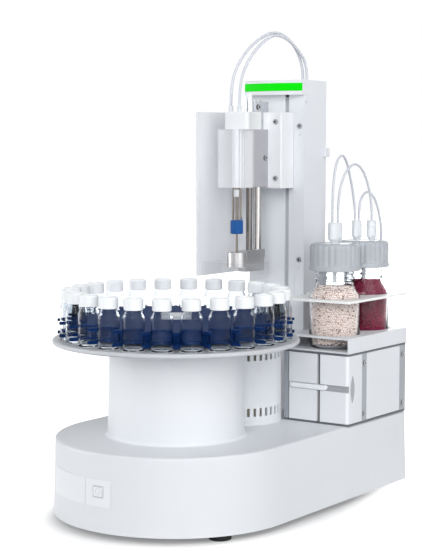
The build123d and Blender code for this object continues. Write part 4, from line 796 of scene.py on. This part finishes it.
@dataclass
class Dresser:
    """Puts pieces on their bodies and gives them their finishes."""

    frame: dict[str, Any]
    kit: SurfaceKit
    made: dict[str, Material] = field(default_factory=dict)

    def take(self, finish: Finish | str) -> Material:
        """Gives a finish's material.

        Args:
            finish: A finish, or the name of one in the list.

        Returns:
            The material, built at its first use.
        """
        chosen = FINISHES[finish] if isinstance(finish, str) else finish
        if chosen.name not in self.made:
            self.made[chosen.name] = chosen.build(self.kit)
        return self.made[chosen.name]

    def carried(self, node: str, slot: str) -> bpy.types.Object:
        """Gives a carried-over node its finish.

        Args:
            node: The node's name.
            slot: The finish's name.

        Returns:
            The node's object.
        """
        piece = self.frame["nodes"][node]
        material = self.take(NODE_FINISHES.get(node, slot))
        for held in piece.material_slots:
            held.material = material
        LOG.info("carried over %s in %s", node, slot)
        return piece

    def placed(
        self,
        bm: BMesh,
        name: str,
        body: str,
        slot: str,
        stands_for: Sequence[str] = (),
        sharp: float = SHARP,
        finish: Finish | str | None = None,
    ) -> bpy.types.Object:
        """Makes a piece from a bmesh and puts it on its body.

        Args:
            bm: The shape in place.
            name: The piece's name.
            body: The body that it rides on.
            slot: The record's slot that it takes its finish from.
            stands_for: The nodes that it replaces.
            sharp: Angle in degrees from which an edge stays crisp.
            finish: A finish other than the slot's own.

        Returns:
            The new object.
        """
        piece = finish_mesh(bm, name, sharp)
        piece.data.materials.append(self.take(finish or slot))
        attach(piece, body)
        if stands_for:
            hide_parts(*stands_for)
        LOG.info("built %s on %s", name, body)
        return piece


def soften(piece: bpy.types.Object, width: float) -> None:
    """Rounds a carried-over node's edges and smooths its curved faces.

    Args:
        piece: The node's object.
        width: Width of the rounding in millimetres; none if zero.
    """
    flat = {"decimate_type": "DISSOLVE", "angle_limit": math.radians(FLAT_ANGLE)}
    limit = {"limit_method": "ANGLE", "angle_limit": math.radians(BEVEL_ANGLE), "use_clamp_overlap": True}
    rows = (
        ("weld", "WELD", {"merge_threshold": WELD}),
        ("one_face_each_side", "DECIMATE", flat),
        ("soft_edges", "BEVEL", {"width": width * MM, "segments": 2, "profile": 0.5, **limit}),
        ("shading", "NODES", {"node_group": shading_group()}),
        ("flat_faces", "WEIGHTED_NORMAL", {"mode": "FACE_AREA", "weight": FACE_WEIGHT, "keep_sharp": True}),
    )
    for name, kind, settings in rows:
        if kind == "BEVEL" and width <= 0:
            continue
        added = piece.modifiers.new(name, kind)
        for key, value in settings.items():
            setattr(added, key, value)


def shading_group() -> NodeTree:
    """Builds, once, the geometry group that smooths faces below an angle.

    Returns:
        The geometry node group.
    """
    name = "smooth_below_angle"
    if name in bpy.data.node_groups:
        return bpy.data.node_groups[name]
    shape = {"Geometry": "Geometry"}
    sheet, given = new_group(name, "GeometryNodeTree", shape, shape)
    smooth = {"Geometry": given[0], "Shade Smooth": True}
    faces = sheet.add("GeometryNodeSetShadeSmooth", smooth, domain="FACE")
    angle = sheet.add("GeometryNodeInputMeshEdgeAngle").outputs["Unsigned Angle"]
    limit = {0: angle, 1: math.radians(SMOOTH_ANGLE)}
    wide = sheet.add("FunctionNodeCompare", limit, data_type="FLOAT", operation="GREATER_THAN")
    crisp = {"Geometry": faces.outputs[0], "Selection": wide.outputs["Result"], "Shade Smooth": False}
    edges = sheet.add("GeometryNodeSetShadeSmooth", crisp, domain="EDGE")
    sheet.add("NodeGroupOutput", {0: edges.outputs[0]})
    return sheet.tree


# Studio


@dataclass
class Studio:
    """The camera, the floor and the soft, even light."""

    eye: Point = (0.9589, -1.3289, 0.3942)
    tilt: float = 90.0 - 5.116
    heading: float = 35.96
    lens: float = 99.77
    sensor: float = 36.0
    clip_end: float = 50.0
    sky_tint: tuple[float, ...] = (0.985, 0.992, 1.0, 1.0)
    sky_level: float = 0.3
    sky_fall: float = -0.15
    sky_seen: float = 1.02
    floor_side: float = 12.0
    floor_grey: tuple[float, ...] = (0.78, 0.78, 0.78, 1.0)
    card_size: Pair = (1.1, 2.2)
    card_heading: float = 4.0
    card_distance: float = 3.4
    card_black: tuple[float, ...] = (0.03, 0.03, 0.03, 1.0)
    shadow_reach: Pair = (0.19, 0.27)
    shadow_oval: float = 1.5
    near_glow: float = 0.14
    aim: Point = (0.0, 0.0, 0.22)
    # Name, place, size in metres and power in watts.
    lamps: tuple[tuple[str, Point, float, float], ...] = (
        ("left_softbox", (-2.8, -1.4, 0.5), 2.0, 48.0),
        ("front_right_softbox", (1.6, -3.0, 1.8), 2.4, 78.0),
        ("right_softbox", (3.1, -0.8, 0.9), 2.4, 28.0),
        ("high_softbox", (2.2, -0.4, 2.6), 2.4, 27.0),
        ("rear_softbox", (-0.9, 3.2, 0.3), 1.8, 32.0),
    )

    @staticmethod
    def emptied(holder: Any) -> NodeSheet:
        """Turns on a world's or a material's nodes, empties them and gives their sheet."""
        holder.use_nodes = True
        holder.node_tree.nodes.clear()
        return NodeSheet(holder.node_tree)

    def camera(self) -> None:
        """Sets up the camera at the photograph's angle."""
        data = bpy.data.cameras.new("camera")
        data.lens, data.sensor_width, data.clip_end = self.lens, self.sensor, self.clip_end
        eye = linked("camera", data)
        eye.location = self.eye
        eye.rotation_euler = (math.radians(self.tilt), 0.0, math.radians(self.heading))
        bpy.context.scene.camera = eye
        LOG.info("camera at %s", self.eye)

    def sky(self) -> None:
        """Lights the object softly from all round, a little less from straight above."""
        world = bpy.data.worlds.new("soft_light")
        bpy.context.scene.world = world
        sheet = self.emptied(world)
        where = sheet.add("ShaderNodeTexCoord").outputs["Generated"]
        height = sheet.math("MAXIMUM", sheet.add("ShaderNodeSeparateXYZ", {0: where}).outputs["Z"], 0.0)
        level = sheet.math("MULTIPLY_ADD", height, self.sky_fall, self.sky_level)
        strength = sheet.mix(sheet.seen(), level, self.sky_seen)
        light = sheet.add("ShaderNodeBackground", {"Color": self.sky_tint, "Strength": strength})
        sheet.add("ShaderNodeOutputWorld", {"Surface": light.outputs[0]})

    def floor(self) -> None:
        """Lays a pale floor that keeps the object's shadow."""
        ground = finish_mesh(flat(self.floor_side, self.floor_side), "floor")
        made = bpy.data.materials.new("pale_floor")
        sheet = self.emptied(made)
        where = sheet.add("ShaderNodeTexCoord").outputs["Object"]
        stretch = {0: where, 1: (self.shadow_oval, 1.0, 1.0)}
        oval = sheet.add("ShaderNodeVectorMath", stretch, operation="MULTIPLY").outputs["Vector"]
        reach = sheet.add("ShaderNodeVectorMath", {0: oval}, operation="LENGTH").outputs["Value"]
        near, far = self.shadow_reach
        span = {"Value": reach, "From Min": near, "From Max": far, "To Min": self.near_glow}
        fade = sheet.add("ShaderNodeMapRange", span, interpolation_type="SMOOTHSTEP").outputs["Result"]
        white = {"Color": (1.0, 1.0, 1.0, 1.0), "Strength": fade}
        glow = sheet.add("ShaderNodeEmission", white).outputs[0]
        plain = sheet.add("ShaderNodeBsdfDiffuse", {"Color": self.floor_grey}).outputs[0]
        both = sheet.add("ShaderNodeAddShader", {0: plain, 1: glow}).outputs[0]
        mix = sheet.add("ShaderNodeMixShader", {0: sheet.seen(), 1: plain, 2: both}).outputs[0]
        sheet.add("ShaderNodeOutputMaterial", {"Surface": mix})
        ground.data.materials.append(made)

    def lights(self) -> None:
        """Hangs the softboxes and turns them to the object."""
        for name, place, size, power in self.lamps:
            data = bpy.data.lights.new(name, "AREA")
            data.shape, data.size, data.energy = "DISK", size, power
            lamp = linked(name, data)
            lamp.location = place
            lamp.rotation_euler = (Vector(self.aim) - Vector(place)).to_track_quat("-Z", "Y").to_euler()

    def card(self) -> None:
        """Stands a dark card in front of the object, for round metal and glass to reflect."""
        round_axis = Matrix.Rotation(math.radians(self.card_heading), 4, "Z")
        away = round_axis @ Vector((0.0, -self.card_distance, 0.0))
        place = Matrix.Translation(away + Vector((0.0, 0.0, self.card_size[1] / 2)))
        upended = round_axis @ Matrix.Rotation(math.radians(90), 4, "X")
        card = finish_mesh(moved(flat(*self.card_size), place @ upended), "dark_card")
        made = bpy.data.materials.new("card_black")
        made.use_nodes = True
        shader = made.node_tree.nodes["Principled BSDF"]
        NodeSheet(made.node_tree).fill(shader, {"Base Color": self.card_black, "Roughness": 0.9})
        card.data.materials.append(made)

    def build(self) -> None:
        """Builds the whole studio."""
        for part in (self.camera, self.sky, self.floor, self.card, self.lights):
            part()
        bpy.context.scene.view_settings.view_transform = "Standard"


# Tubes


def baked(curve: bpy.types.Object) -> bpy.types.Mesh:
    """Turns a curve object into a mesh and removes it."""
    bpy.context.view_layer.update()
    mesh = bpy.data.meshes.new_from_object(curve)
    bpy.data.objects.remove(curve)
    return mesh


@dataclass
class TubeRun:
    """One tube, with its route's points in millimetres from the carousel axis."""

    name: str
    node: str
    radius: float
    points: tuple[Point, ...]
    moves_with_head: bool = False

    def spline(self, name: str, bevel: float) -> bpy.types.Object:
        """Makes the smooth curve through the route's control points.

        Args:
            name: The curve's name.
            bevel: Radius of the tube in metres, or zero for the bare line.

        Returns:
            The curve object.
        """
        data = bpy.data.curves.new(name, "CURVE")
        data.dimensions, data.resolution_u = "3D", 8
        data.bevel_depth, data.bevel_resolution, data.use_fill_caps = bevel, 5, bevel > 0
        line = data.splines.new("NURBS")
        line.points.add(len(self.points) - 1)
        for point, place in zip(line.points, self.points):
            point.co = (*spot(*place), 1.0)
        line.order_u, line.use_endpoint_u = 3, True
        return linked(name, data)

    def followed(self) -> list[Vector]:
        """Reads the points of the smooth line.

        Returns:
            The line's points in metres.
        """
        mesh = baked(self.spline(self.name + "_line", 0.0))
        points = [vert.co.copy() for vert in mesh.vertices]
        bpy.data.meshes.remove(mesh)
        return points

    def meshed(self, tube: bpy.types.Object) -> bpy.types.Object:
        """Turns the tube's curve into a mesh.

        Args:
            tube: The curve object, which is removed.

        Returns:
            The mesh object.
        """
        mesh = baked(tube)
        bm = bmesh.new()
        bm.from_mesh(mesh)
        bpy.data.meshes.remove(mesh)
        bmesh.ops.remove_doubles(bm, verts=list(bm.verts), dist=WELD)
        bmesh.ops.recalc_face_normals(bm, faces=list(bm.faces))
        made = finish_mesh(bm, self.name, 60.0)
        made.data.materials.clear()
        return made

    def build(self, dresser: Dresser) -> None:
        """Args:
            dresser: Gives the tube its finish.
        """
        points = self.followed()
        length = sum((b - a).length for a, b in zip(points, points[1:]))
        tube = self.spline(self.name, self.radius * MM)
        if self.moves_with_head:
            tube = self.meshed(tube)
        tube.data.materials.append(dresser.take("hose_clear"))
        facts = dict(
            exit=tuple(points[0]),
            length=length,
            diameter=2 * self.radius * MM,
            far_end="object",
            stiffness="medium",
            lay="loose",
        )
        if self.moves_with_head:
            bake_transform(tube)
            facts["path"] = [tuple(point) for point in points]
        else:
            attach(tube, "machine")
        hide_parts(self.node)
        LOG.info("tube %s, %.1f mm long", self.name, length / MM)


TUBES: tuple[TubeRun, ...] = (
    TubeRun("needle_hose_left", "head_hose_left", 1.6, (
        (-8, 110, 430), (-8, 110, 446), (-6.8, 114.5, 467), (-1.5, 126, 487),
        (5.5, 142, 503), (12.5, 163, 513), (17.5, 184, 507), (19.2, 202, 491.5),
        (19.6, 212, 473), (19.6, 212, 461.1),
    ), True),
    TubeRun("needle_hose_right", "head_hose_right", 1.6, (
        (3.3, 110, 430), (3.3, 110, 445), (4.3, 114, 465), (8.5, 124, 484),
        (13.5, 139.5, 500), (17.5, 159, 509.5), (21.5, 180, 504), (24.4, 201, 489.5),
        (25, 212, 475), (25, 212, 461.1),
    ), True),
    TubeRun("gas_tube_front", "gas_tube_front", 1.35, (
        (86, 169.6, 303), (86, 169.6, 322), (85.8, 171, 344), (85.4, 176.3, 364),
        (84.9, 183.5, 373.5), (84.1, 193.3, 376.5), (82.6, 203.2, 371), (81.2, 211.5, 360),
        (80, 221, 341.5), (79.6, 226.2, 325), (79.9, 228.3, 313), (79.9, 228.3, 303),
    )),
    TubeRun("gas_tube_middle", "gas_tube_middle", 1.35, (
        (90.8, 173.2, 303), (90.8, 173.2, 321), (91.1, 177, 341.5), (91.8, 187.5, 359),
        (92.9, 205.5, 368.5), (93.9, 222, 359.5), (94.7, 233, 341), (95.1, 239.4, 319),
        (95.1, 239.4, 303),
    )),
    TubeRun("gas_tube_rear", "gas_tube_rear", 1.35, (
        (83.5, 230.9, 303), (83.5, 230.9, 312), (83.8, 232.4, 323), (84.2, 237.6, 331.3),
        (85, 246.5, 335), (86, 255.5, 331.5), (87.8, 262.8, 322), (89.4, 267, 307.5),
        (90.4, 270.4, 291), (88.2, 272.8, 275), (82.5, 271.5, 261.5), (74, 266.3, 251.5),
        (68.5, 260.5, 241), (68.5, 260.5, 229),
    )),
)


@dataclass
class Assembly:
    """A part of the object that is built with the help of a dresser."""

    dresser: Dresser


# Vials


@dataclass
class VialSet(Assembly):
    """The glass vials on the carousel, with their ribbed caps."""

    count: int = 24
    circle: float = 110.0
    radius: float = 11.0
    wall: float = 1.0
    bottom: float = 187.8
    shoulder: Pair = (221.0, 226.0)
    neck_radius: float = 8.3
    rim: float = 236.0
    cap_radius: float = 9.55
    cap: Pair = (228.0, 239.5)
    aperture: float = 5.6
    ribs: int = 36

    def places(self) -> list[Matrix]:
        """Gives the stations' places round the carousel.

        Returns:
            One matrix for each vial.
        """
        found = []
        for station in range(self.count):
            angle = 2 * math.pi * station / self.count + math.pi / 2
            centre = (self.circle * math.cos(angle), self.circle * math.sin(angle))
            found.append(upright(centre) @ Matrix.Rotation(angle, 4, "Z"))
        return found

    def glass(self) -> None:
        """Builds the vials."""
        r, w, n = self.radius, self.wall, self.neck_radius
        b, (low, high) = self.bottom, self.shoulder
        profile = [
            (0, b + 0.9), (r - 3.2, b + 0.5), (r - 1.6, b), (r - 0.5, b + 0.35), (r, b + 1.5),
            (r, low), (r - 0.6, low + 1.6), (n + 0.7, high - 0.7), (n, high + 0.8),
            (n, self.rim - 0.5), (n - 0.5, self.rim), (n - w, self.rim - 0.4),
            (n - w, high + 0.8), (n - w + 0.6, high - 1.2), (r - w - 0.5, low + 0.6), (r - w, low - 1),
            (r - w, b + 3), (r - w - 1.6, b + 1.6), (0, b + 1.9),
        ]
        vials = repeated(lathe(profile, 40), self.places())
        self.dresser.placed(vials, "vials_glass", "carousel", "vial_glass", ["vials"], sharp=60.0)

    def caps(self) -> None:
        """Builds the open-topped ribbed caps."""
        r, a, n, (low, high) = self.cap_radius, self.aperture, self.neck_radius + 0.15, self.cap
        profile = [
            (n, low + 0.1), (r - 0.35, low), (r, low + 0.5), (r, low + 1.2), (r, low + 3.4), (r, low + 6),
            (r, high - 2.2), (r - 0.1, high - 1.1), (r - 0.5, high - 0.4), (r - 1.3, high),
            (a + 0.35, high), (a, high - 0.35), (a, high - 1.5), (n, high - 1.5),
        ]
        one = lathe(profile, self.ribs * 2, closed=True)
        caps = repeated(flute(one, self.ribs, 0.28, r - 0.3, (low + 1.0, high - 2.0)), self.places())
        self.dresser.placed(caps, "vial_caps_ribbed", "carousel", "vial_cap_white", ["vial_caps"], sharp=50.0)

    def build(self) -> None:
        """Builds vials and caps, and finishes the septa."""
        self.glass()
        self.caps()
        soften(self.dresser.carried("septa", "septum_rubber"), 0.0)


# Drying bottles


@dataclass
class DryingBottles(Assembly):
    """The two clear bottles of desiccant with their ribbed caps, nuts and inner tubes."""

    places: tuple[Pair, ...] = ((88.4, 171.4), (88.4, 234.5))
    radius: float = 28.0
    wall: float = 1.6
    base: float = 166.0
    shoulder: Pair = (223.0, 234.0)
    neck_radius: float = 21.0
    rim: float = 275.0
    thread_turns: int = 5
    thread_pitch: float = 5.0
    cap_radius: float = 27.5
    skirt_radius: float = 28.5
    skirt_height: float = 5.0
    cap: Pair = (250.8, 280.2)
    cap_hole: float = 17.0
    rib_count: int = 24
    insert_radii: Pair = (20.0, 16.7)
    tube_foot: float = 238.0
    tube_radius: float = 2.2
    nut_top: float = 303.0
    front_nut: float = 8.0
    rear_nut: float = 5.5
    rear_nuts: tuple[Pair, ...] = ((81.7, 229.6), (95.1, 239.4))
    bead: float = 2.1
    batch: int = 60
    # Tone of the core seen between the beads, dark as painted shade.
    core_painted_shade: float = 0.86
    plain_share: float = 0.8
    plain_tones: float = 0.6
    front_top: float = 232.5
    rear_top: float = 237.0
    pale: BeadFinish = BeadFinish(
        "beads_pale", (220, 200, 190), 0.5, Grain.RUBBER, 1800.0,
        stops=((0.0, (240, 228, 222)), (0.6, (232, 216, 208)), (0.8, (198, 176, 164)), (1.0, (118, 98, 90))),
    )
    deep: BeadFinish = BeadFinish(
        "beads_deep", (140, 20, 80), 0.45, Grain.RUBBER, 1800.0,
        stops=((0.0, (148, 0, 62)), (0.6, (120, 0, 46)), (0.85, (88, 0, 36)), (1.0, (50, 4, 22))),
    )

    def inner_radius(self, z: float) -> float:
        """Gives the bottle's inner radius at a height.

        Args:
            z: Height in millimetres.

        Returns:
            The radius in millimetres.
        """
        low, high = self.shoulder
        body, neck = self.radius - self.wall, self.neck_radius - self.wall
        share = min(max((z - (low - 2)) / (high - low + 3), 0.0), 1.0)
        return body + (neck - body) * (0.5 - 0.5 * math.cos(math.pi * share))

    def glass(self) -> None:
        """Builds both bottles with their threaded necks."""
        r, n, w, b = self.radius, self.neck_radius, self.wall, self.base
        low, high = self.shoulder
        profile = [
            (0, b + 2.6), (r * 0.55, b + 1.8), (r - 6, b + 0.2), (r - 3.6, b), (r - 1.2, b + 1.1),
            (r, b + 4), (r, low - 1.5), (r - 0.8, low + 1.8), (r - 3, low + 5),
            (n + 1.6, high - 1.6), (n + 0.2, high + 0.8), (n, high + 3), (n, high + 7.2),
            (n + 1.3, high + 8.2), (n + 1.3, high + 9.4), (n, high + 10.4),
        ]
        for turn in range(self.thread_turns):
            z = high + 13.0 + turn * self.thread_pitch
            profile += [(n, z), (n + 0.9, z + 0.9), (n + 0.9, z + 1.7), (n, z + 2.6)]
        profile += [
            (n, self.rim - 0.5), (n - 0.5, self.rim), (n - w, self.rim - 0.3), (n - w, high + 1),
            (n - w + 1.4, high - 2.4), (r - w - 2.6, low + 3.4), (r - w - 0.5, low + 0.4),
            (r - w, low - 2.5), (r - w, b + 5), (r - w - 3, b + 2.4), (0, b + 4.2),
        ]
        both = repeated(lathe(profile, 96), [upright(place) for place in self.places])
        self.dresser.placed(both, "bottles_clear", "machine", "bottle_clear", ["bottle_glass"], sharp=60.0)

    def core(self, top: float) -> BMesh:
        """Builds the plain core that the beads hide, its dark tone painted shade between the beads.

        Args:
            top: Height of the fill in millimetres.

        Returns:
            The core with its shade.
        """
        foot = self.base + 6.0
        core, z = [(0.0, foot)], foot
        while z <= top - 1.5:
            core.append((self.inner_radius(z) - self.bead * 0.75, z))
            z += 3.0
        solid = lathe([*core, (0.0, top - 1.0)], 32)
        shade = solid.verts.layers.float.new("shade")
        for vert in solid.verts:
            vert[shade] = self.core_painted_shade
        return solid

    def scatter(self, rng: random.Random, top: float) -> list[Vector]:
        """Finds the beads' places along the wall and on top of the fill.

        Args:
            rng: The source of the scatter.
            top: Height of the fill in millimetres.

        Returns:
            The beads' middles in millimetres from the bottle's axis.
        """
        half, turn = self.bead / 2, 2 * math.pi
        spots: list[Vector] = []
        row, z = 0, self.base + 5.2
        while z <= top:
            reach = self.inner_radius(z) - half - 0.08
            count = int(turn * reach / (self.bead * 0.98))
            for i in range(count):
                angle = turn * (i + 0.5 * (row % 2) + rng.uniform(-0.16, 0.16)) / count
                out = reach - rng.uniform(0.0, 0.5)
                rise = rng.uniform(-0.35, 0.35)
                spots.append(Vector((out * math.cos(angle), out * math.sin(angle), z + rise)))
            row += 1
            z += self.bead * 0.86
        ring = self.inner_radius(top) - half - self.bead
        while ring > 4.0:
            count = max(1, int(turn * ring / self.bead))
            for i in range(count):
                angle = turn * (i + rng.uniform(-0.2, 0.2)) / count
                z = top + rng.uniform(-0.8, 0.3)
                spots.append(Vector((ring * math.cos(angle), ring * math.sin(angle), z)))
            ring -= self.bead * 0.9
        return spots

    def bed(self, name: str, place: Pair, finish: BeadFinish, seed: int, top: float) -> None:
        """Fills a bottle with beads round a plain core.

        Args:
            name: The piece's name.
            place: The bottle's place.
            finish: The beads' finish.
            seed: Seed of the beads' scatter.
            top: Height of the fill in millimetres.
        """
        rng = random.Random(seed)
        batches = [self.core(top)]
        spots = self.scatter(rng, top)
        for first in range(0, len(spots), self.batch):
            batch = bmesh.new()
            shade = batch.verts.layers.float.new("shade")
            for centre in spots[first : first + self.batch]:
                size = self.bead / 2 * rng.uniform(0.86, 1.04) * MM
                spun = Matrix.Translation(centre * MM) @ Matrix.Rotation(rng.uniform(0, 3), 4, "X")
                made = bmesh.ops.create_icosphere(batch, subdivisions=1, radius=size, matrix=spun)
                tone, plain = rng.random(), self.plain_tones
                tone = tone * plain if rng.random() < self.plain_share else plain + tone * (1 - plain)
                for vert in made["verts"]:
                    vert[shade] = tone
            batches.append(batch)
        bm = moved(joined(*batches), upright(place))
        self.dresser.placed(bm, name, "machine", "desiccant", (), sharp=80.0, finish=finish)

    def screw_cap(self, name: str, place: Pair) -> None:
        """Builds one ribbed screw cap.

        Args:
            name: The cap's body and node.
            place: The bottle's place.
        """
        low, high = self.cap
        r, s, hole, step = self.cap_radius, self.skirt_radius, self.cap_hole, low + self.skirt_height
        profile = [
            (r - 3, low + 0.2), (s - 0.5, low), (s, low + 0.5), (s, step - 0.8), (s - 0.3, step - 0.1),
            (r, step + 0.4), (r, step + 1), (r, step + 5), (r, high - 8), (r, high - 4.2),
            (r - 0.2, high - 3), (r - 0.9, high - 1.5), (r - 2.1, high - 0.45), (r - 3.8, high),
            (hole + 0.4, high), (hole, high - 0.4), (hole, high - 2.7), (r - 3, high - 2.7),
        ]
        bm = lathe(profile, self.rib_count * 6, closed=True)
        flute(bm, self.rib_count, 1.0, r - 1.4, (step + 0.9, high - 1.4))
        self.dresser.placed(moved(bm, upright(place)), name + "_ribbed", name, "cap_grey", [name], sharp=40.0)

    def nut(self, place: Pair, radius: float) -> BMesh:
        """Builds one tube nut.

        Args:
            place: Its place.
            radius: Its outer radius in millimetres.

        Returns:
            The nut in place.
        """
        z, top = self.cap[1], self.nut_top
        profile = [
            (0, z - 1), (radius * 0.62, z - 1), (radius * 0.62, z + 1.2), (radius * 0.8, z + 3),
            (radius, z + 5), (radius, top - 1.2), (radius - 0.9, top), (0, top),
        ]
        bm = lathe(profile, 72, 0.25, rounded=range(2, 7))
        return moved(flute(bm, 24, 0.22, radius - 0.2, (z + 6.0, top - 2.0)), upright(place))

    def ports(self) -> None:
        """Builds the caps' fixed inserts, nuts and the tubes inside the necks."""
        (wide, slim), t, rim, top = self.insert_radii, self.tube_radius, self.rim, self.cap[1] - 0.3
        low, step = rim + 0.1, rim + 2.1
        disc = [(0, low), (wide, low), (wide, step), (slim, step), (slim, top), (0, top)]
        stem = [(0, self.tube_foot), (t, self.tube_foot), (t, rim), (0, rim)]
        shapes = []
        for place in self.places:
            for shape in (lathe(disc, 64, 0.3, rounded=range(1, 5)), lathe(stem, 20)):
                shapes.append(moved(shape, upright(place)))
        shapes.append(self.nut(self.places[0], self.front_nut))
        shapes += [self.nut(place, self.rear_nut) for place in self.rear_nuts]
        ports = joined(*shapes)
        self.dresser.placed(ports, "bottle_ports", "machine", "fitting_white", ["cap_ports"], sharp=40.0)

    def build(self) -> None:
        """Builds both bottles, their fill, caps and ports."""
        self.glass()
        self.bed("beads_front", self.places[0], self.pale, 11, self.front_top)
        self.bed("beads_rear", self.places[1], self.deep, 23, self.rear_top)
        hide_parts("bottle_beads")
        self.screw_cap("cap_front", self.places[0])
        self.screw_cap("cap_rear", self.places[1])
        self.ports()


# Head


@dataclass
class NeedleKnob(Assembly):
    """The blue knob that holds the needle."""

    place: Pair = (0.0, 110.0)
    radius: float = 6.95
    bore: float = 1.95
    z: Pair = (290.5, 305.4)
    tab_place: Pair = (5.1, 111.2)
    tab_radius: float = 1.0
    tab_z: Pair = (303.0, 308.6)

    def build(self) -> None:
        """Builds the knurled knob with its small upright tab."""
        r, bore, (low, high) = self.radius, self.bore, self.z
        profile = [
            (bore, low), (r - 0.9, low), (r - 0.2, low + 0.5), (r, low + 1.2), (r, low + 5),
            (r, high - 5), (r, high - 1.2), (r - 0.2, high - 0.5), (r - 0.9, high), (bore, high),
        ]
        knob = flute(lathe(profile, 96, closed=True), 24, 0.3, r - 0.3, (low + 1.1, high - 1.1))
        t, (foot, tip) = self.tab_radius, self.tab_z
        tab = lathe([(0, foot), (t, foot), (t, tip), (0, tip)], 20, 0.4, rounded=[1, 2])
        both = joined(moved(knob, upright(self.place)), moved(tab, upright(self.tab_place)))
        self.dresser.placed(both, "needle_knob_knurled", "needle_knob", "knob_blue", ["needle_knob"])


# Tower trim


@dataclass
class TowerTrim(Assembly):
    """The grey band behind the lift slot and the two plugs below the tower's screws."""

    front: float = 188.5
    band_x: Pair = (5.0, 18.0)
    band_y: Pair = (191.3, 192.1)
    band_z: Pair = (138.0, 441.0)
    band_edge: float = 0.25
    plug_x: float = 30.6
    plug_heights: Pair = (399.5, 249.4)
    plug_radius: float = 1.55

    def band(self) -> None:
        """Builds the cover band, which travels with the head."""
        width, depth = self.band_x[1] - self.band_x[0], self.band_y[1] - self.band_y[0]
        bm = flat(width * MM, depth * MM)
        rise = bmesh.ops.extrude_face_region(bm, geom=list(bm.faces))
        top = [item for item in rise["geom"] if isinstance(item, bmesh.types.BMVert)]
        bmesh.ops.translate(bm, vec=(0.0, 0.0, (self.band_z[1] - self.band_z[0]) * MM), verts=top)
        edges = list(bm.edges)
        bmesh.ops.bevel(
            bm, geom=edges, offset=self.band_edge * MM, affect="EDGES", segments=2, profile=0.5, material=-1
        )
        bmesh.ops.recalc_face_normals(bm, faces=list(bm.faces))
        middle = (self.band_x[0] + width / 2, self.band_y[0] + depth / 2)
        bmesh.ops.translate(bm, vec=spot(*middle, self.band_z[0]), verts=list(bm.verts))
        self.dresser.placed(bm, "slot_band", "head", "frame_grey", finish="slot_grey")

    def plugs(self) -> None:
        """Builds the two domed plugs."""
        r = self.plug_radius
        profile = [(0, 1.1), (r * 0.6, 0.85), (r * 0.92, 0.35), (r, -0.2), (r * 0.8, -1.4), (0, -1.4)]
        turn = Matrix.Rotation(math.radians(90), 4, "X")
        places = [Matrix.Translation(spot(self.plug_x, self.front, z)) @ turn for z in self.plug_heights]
        self.dresser.placed(repeated(lathe(profile, 24), places), "keyhole_plugs", "machine", "fitting_white")

    def build(self) -> None:
        """Builds the band and the plugs."""
        self.band()
        self.plugs()


# Carried-over pieces

# The nodes whose shapes stay, by slot, each with its edges' rounding in millimetres.
CARRIED: dict[str, dict[str, float]] = {
    "body_white": {
        "base_housing": 0.0, "pedestal_shell": 0.5, "oven_housing": 0.4, "tower_cap": 0.6,
        "retaining_plate": 0.5,
    },
    "plate_steel": {"base_plate": 0.3},
    "foot_rubber": {"rubber_feet": 0.5},
    "panel_film": {"label_panel": 0.1},
    "key_film": {"touch_key": 0.15},
    "board_green": {"control_board": 0.0},
    "inlet_black": {"power_inlet": 0.3},
    "bare_aluminium": {"drive_bracket": 0.3, "oven_block": 0.3, "lift_slider": 0.4},
    "bright_steel": {
        "carousel_bearing": 0.3, "linear_rail": 0.3, "lead_screw": 0.2, "needle_tubes": 0.15,
        "guide_rods": 0.3,
    },
    "motor_black": {"carousel_motor": 0.4, "lift_motor": 0.4, "gas_pump": 0.5},
    "gear_brass": {"drive_pinion": 0.1},
    "disc_grey": {"carousel_hub": 0.3, "carousel_disc": 0.3},
    "rack_blue": {"rack_lower_star": 0.3, "rack_upper_star": 0.3},
    "insulation_wool": {"oven_insulation": 0.5},
    "sheet_white": {"tower_cover": 0.5, "tower_back": 0.5},
    "light_green": {"status_light": 0.4},
    "guard_frosted": {"side_shield": 0.4, "needle_guard": 0.4},
    "guard_clear": {"clear_guard": 0.3},
    "cast_white": {"head_bracket": 0.6},
    "screw_steel": {"head_screws": 0.15, "cover_screws": 0.15},
    "fitting_white": {"head_fittings": 0.2},
    "bush_steel": {"rod_bushes": 0.25},
    "foot_steel": {"hold_down_foot": 0.4},
    "frame_grey": {"box_frame": 0.4},
    "box_white": {
        "corner_cover": 0.5, "side_panel": 0.5, "left_door": 0.5, "door_handle": 0.6,
        "bottle_tray": 0.5,
    },
}


def carry_over(dresser: Dresser) -> None:
    """Dresses and softens every carried-over node."""
    for slot, widths in CARRIED.items():
        for node, width in widths.items():
            soften(dresser.carried(node, slot), width)


def main() -> None:
    """Builds the scene in order."""
    logging.basicConfig(level=logging.INFO, format="%(name)s: %(message)s")
    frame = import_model()
    Studio().build()
    dresser = Dresser(frame, SurfaceKit())
    for tube in TUBES:
        tube.build(dresser)
    for assembly in (VialSet, DryingBottles, NeedleKnob, TowerTrim):
        assembly(dresser).build()
    carry_over(dresser)


if __name__ == "__main__":
    main()
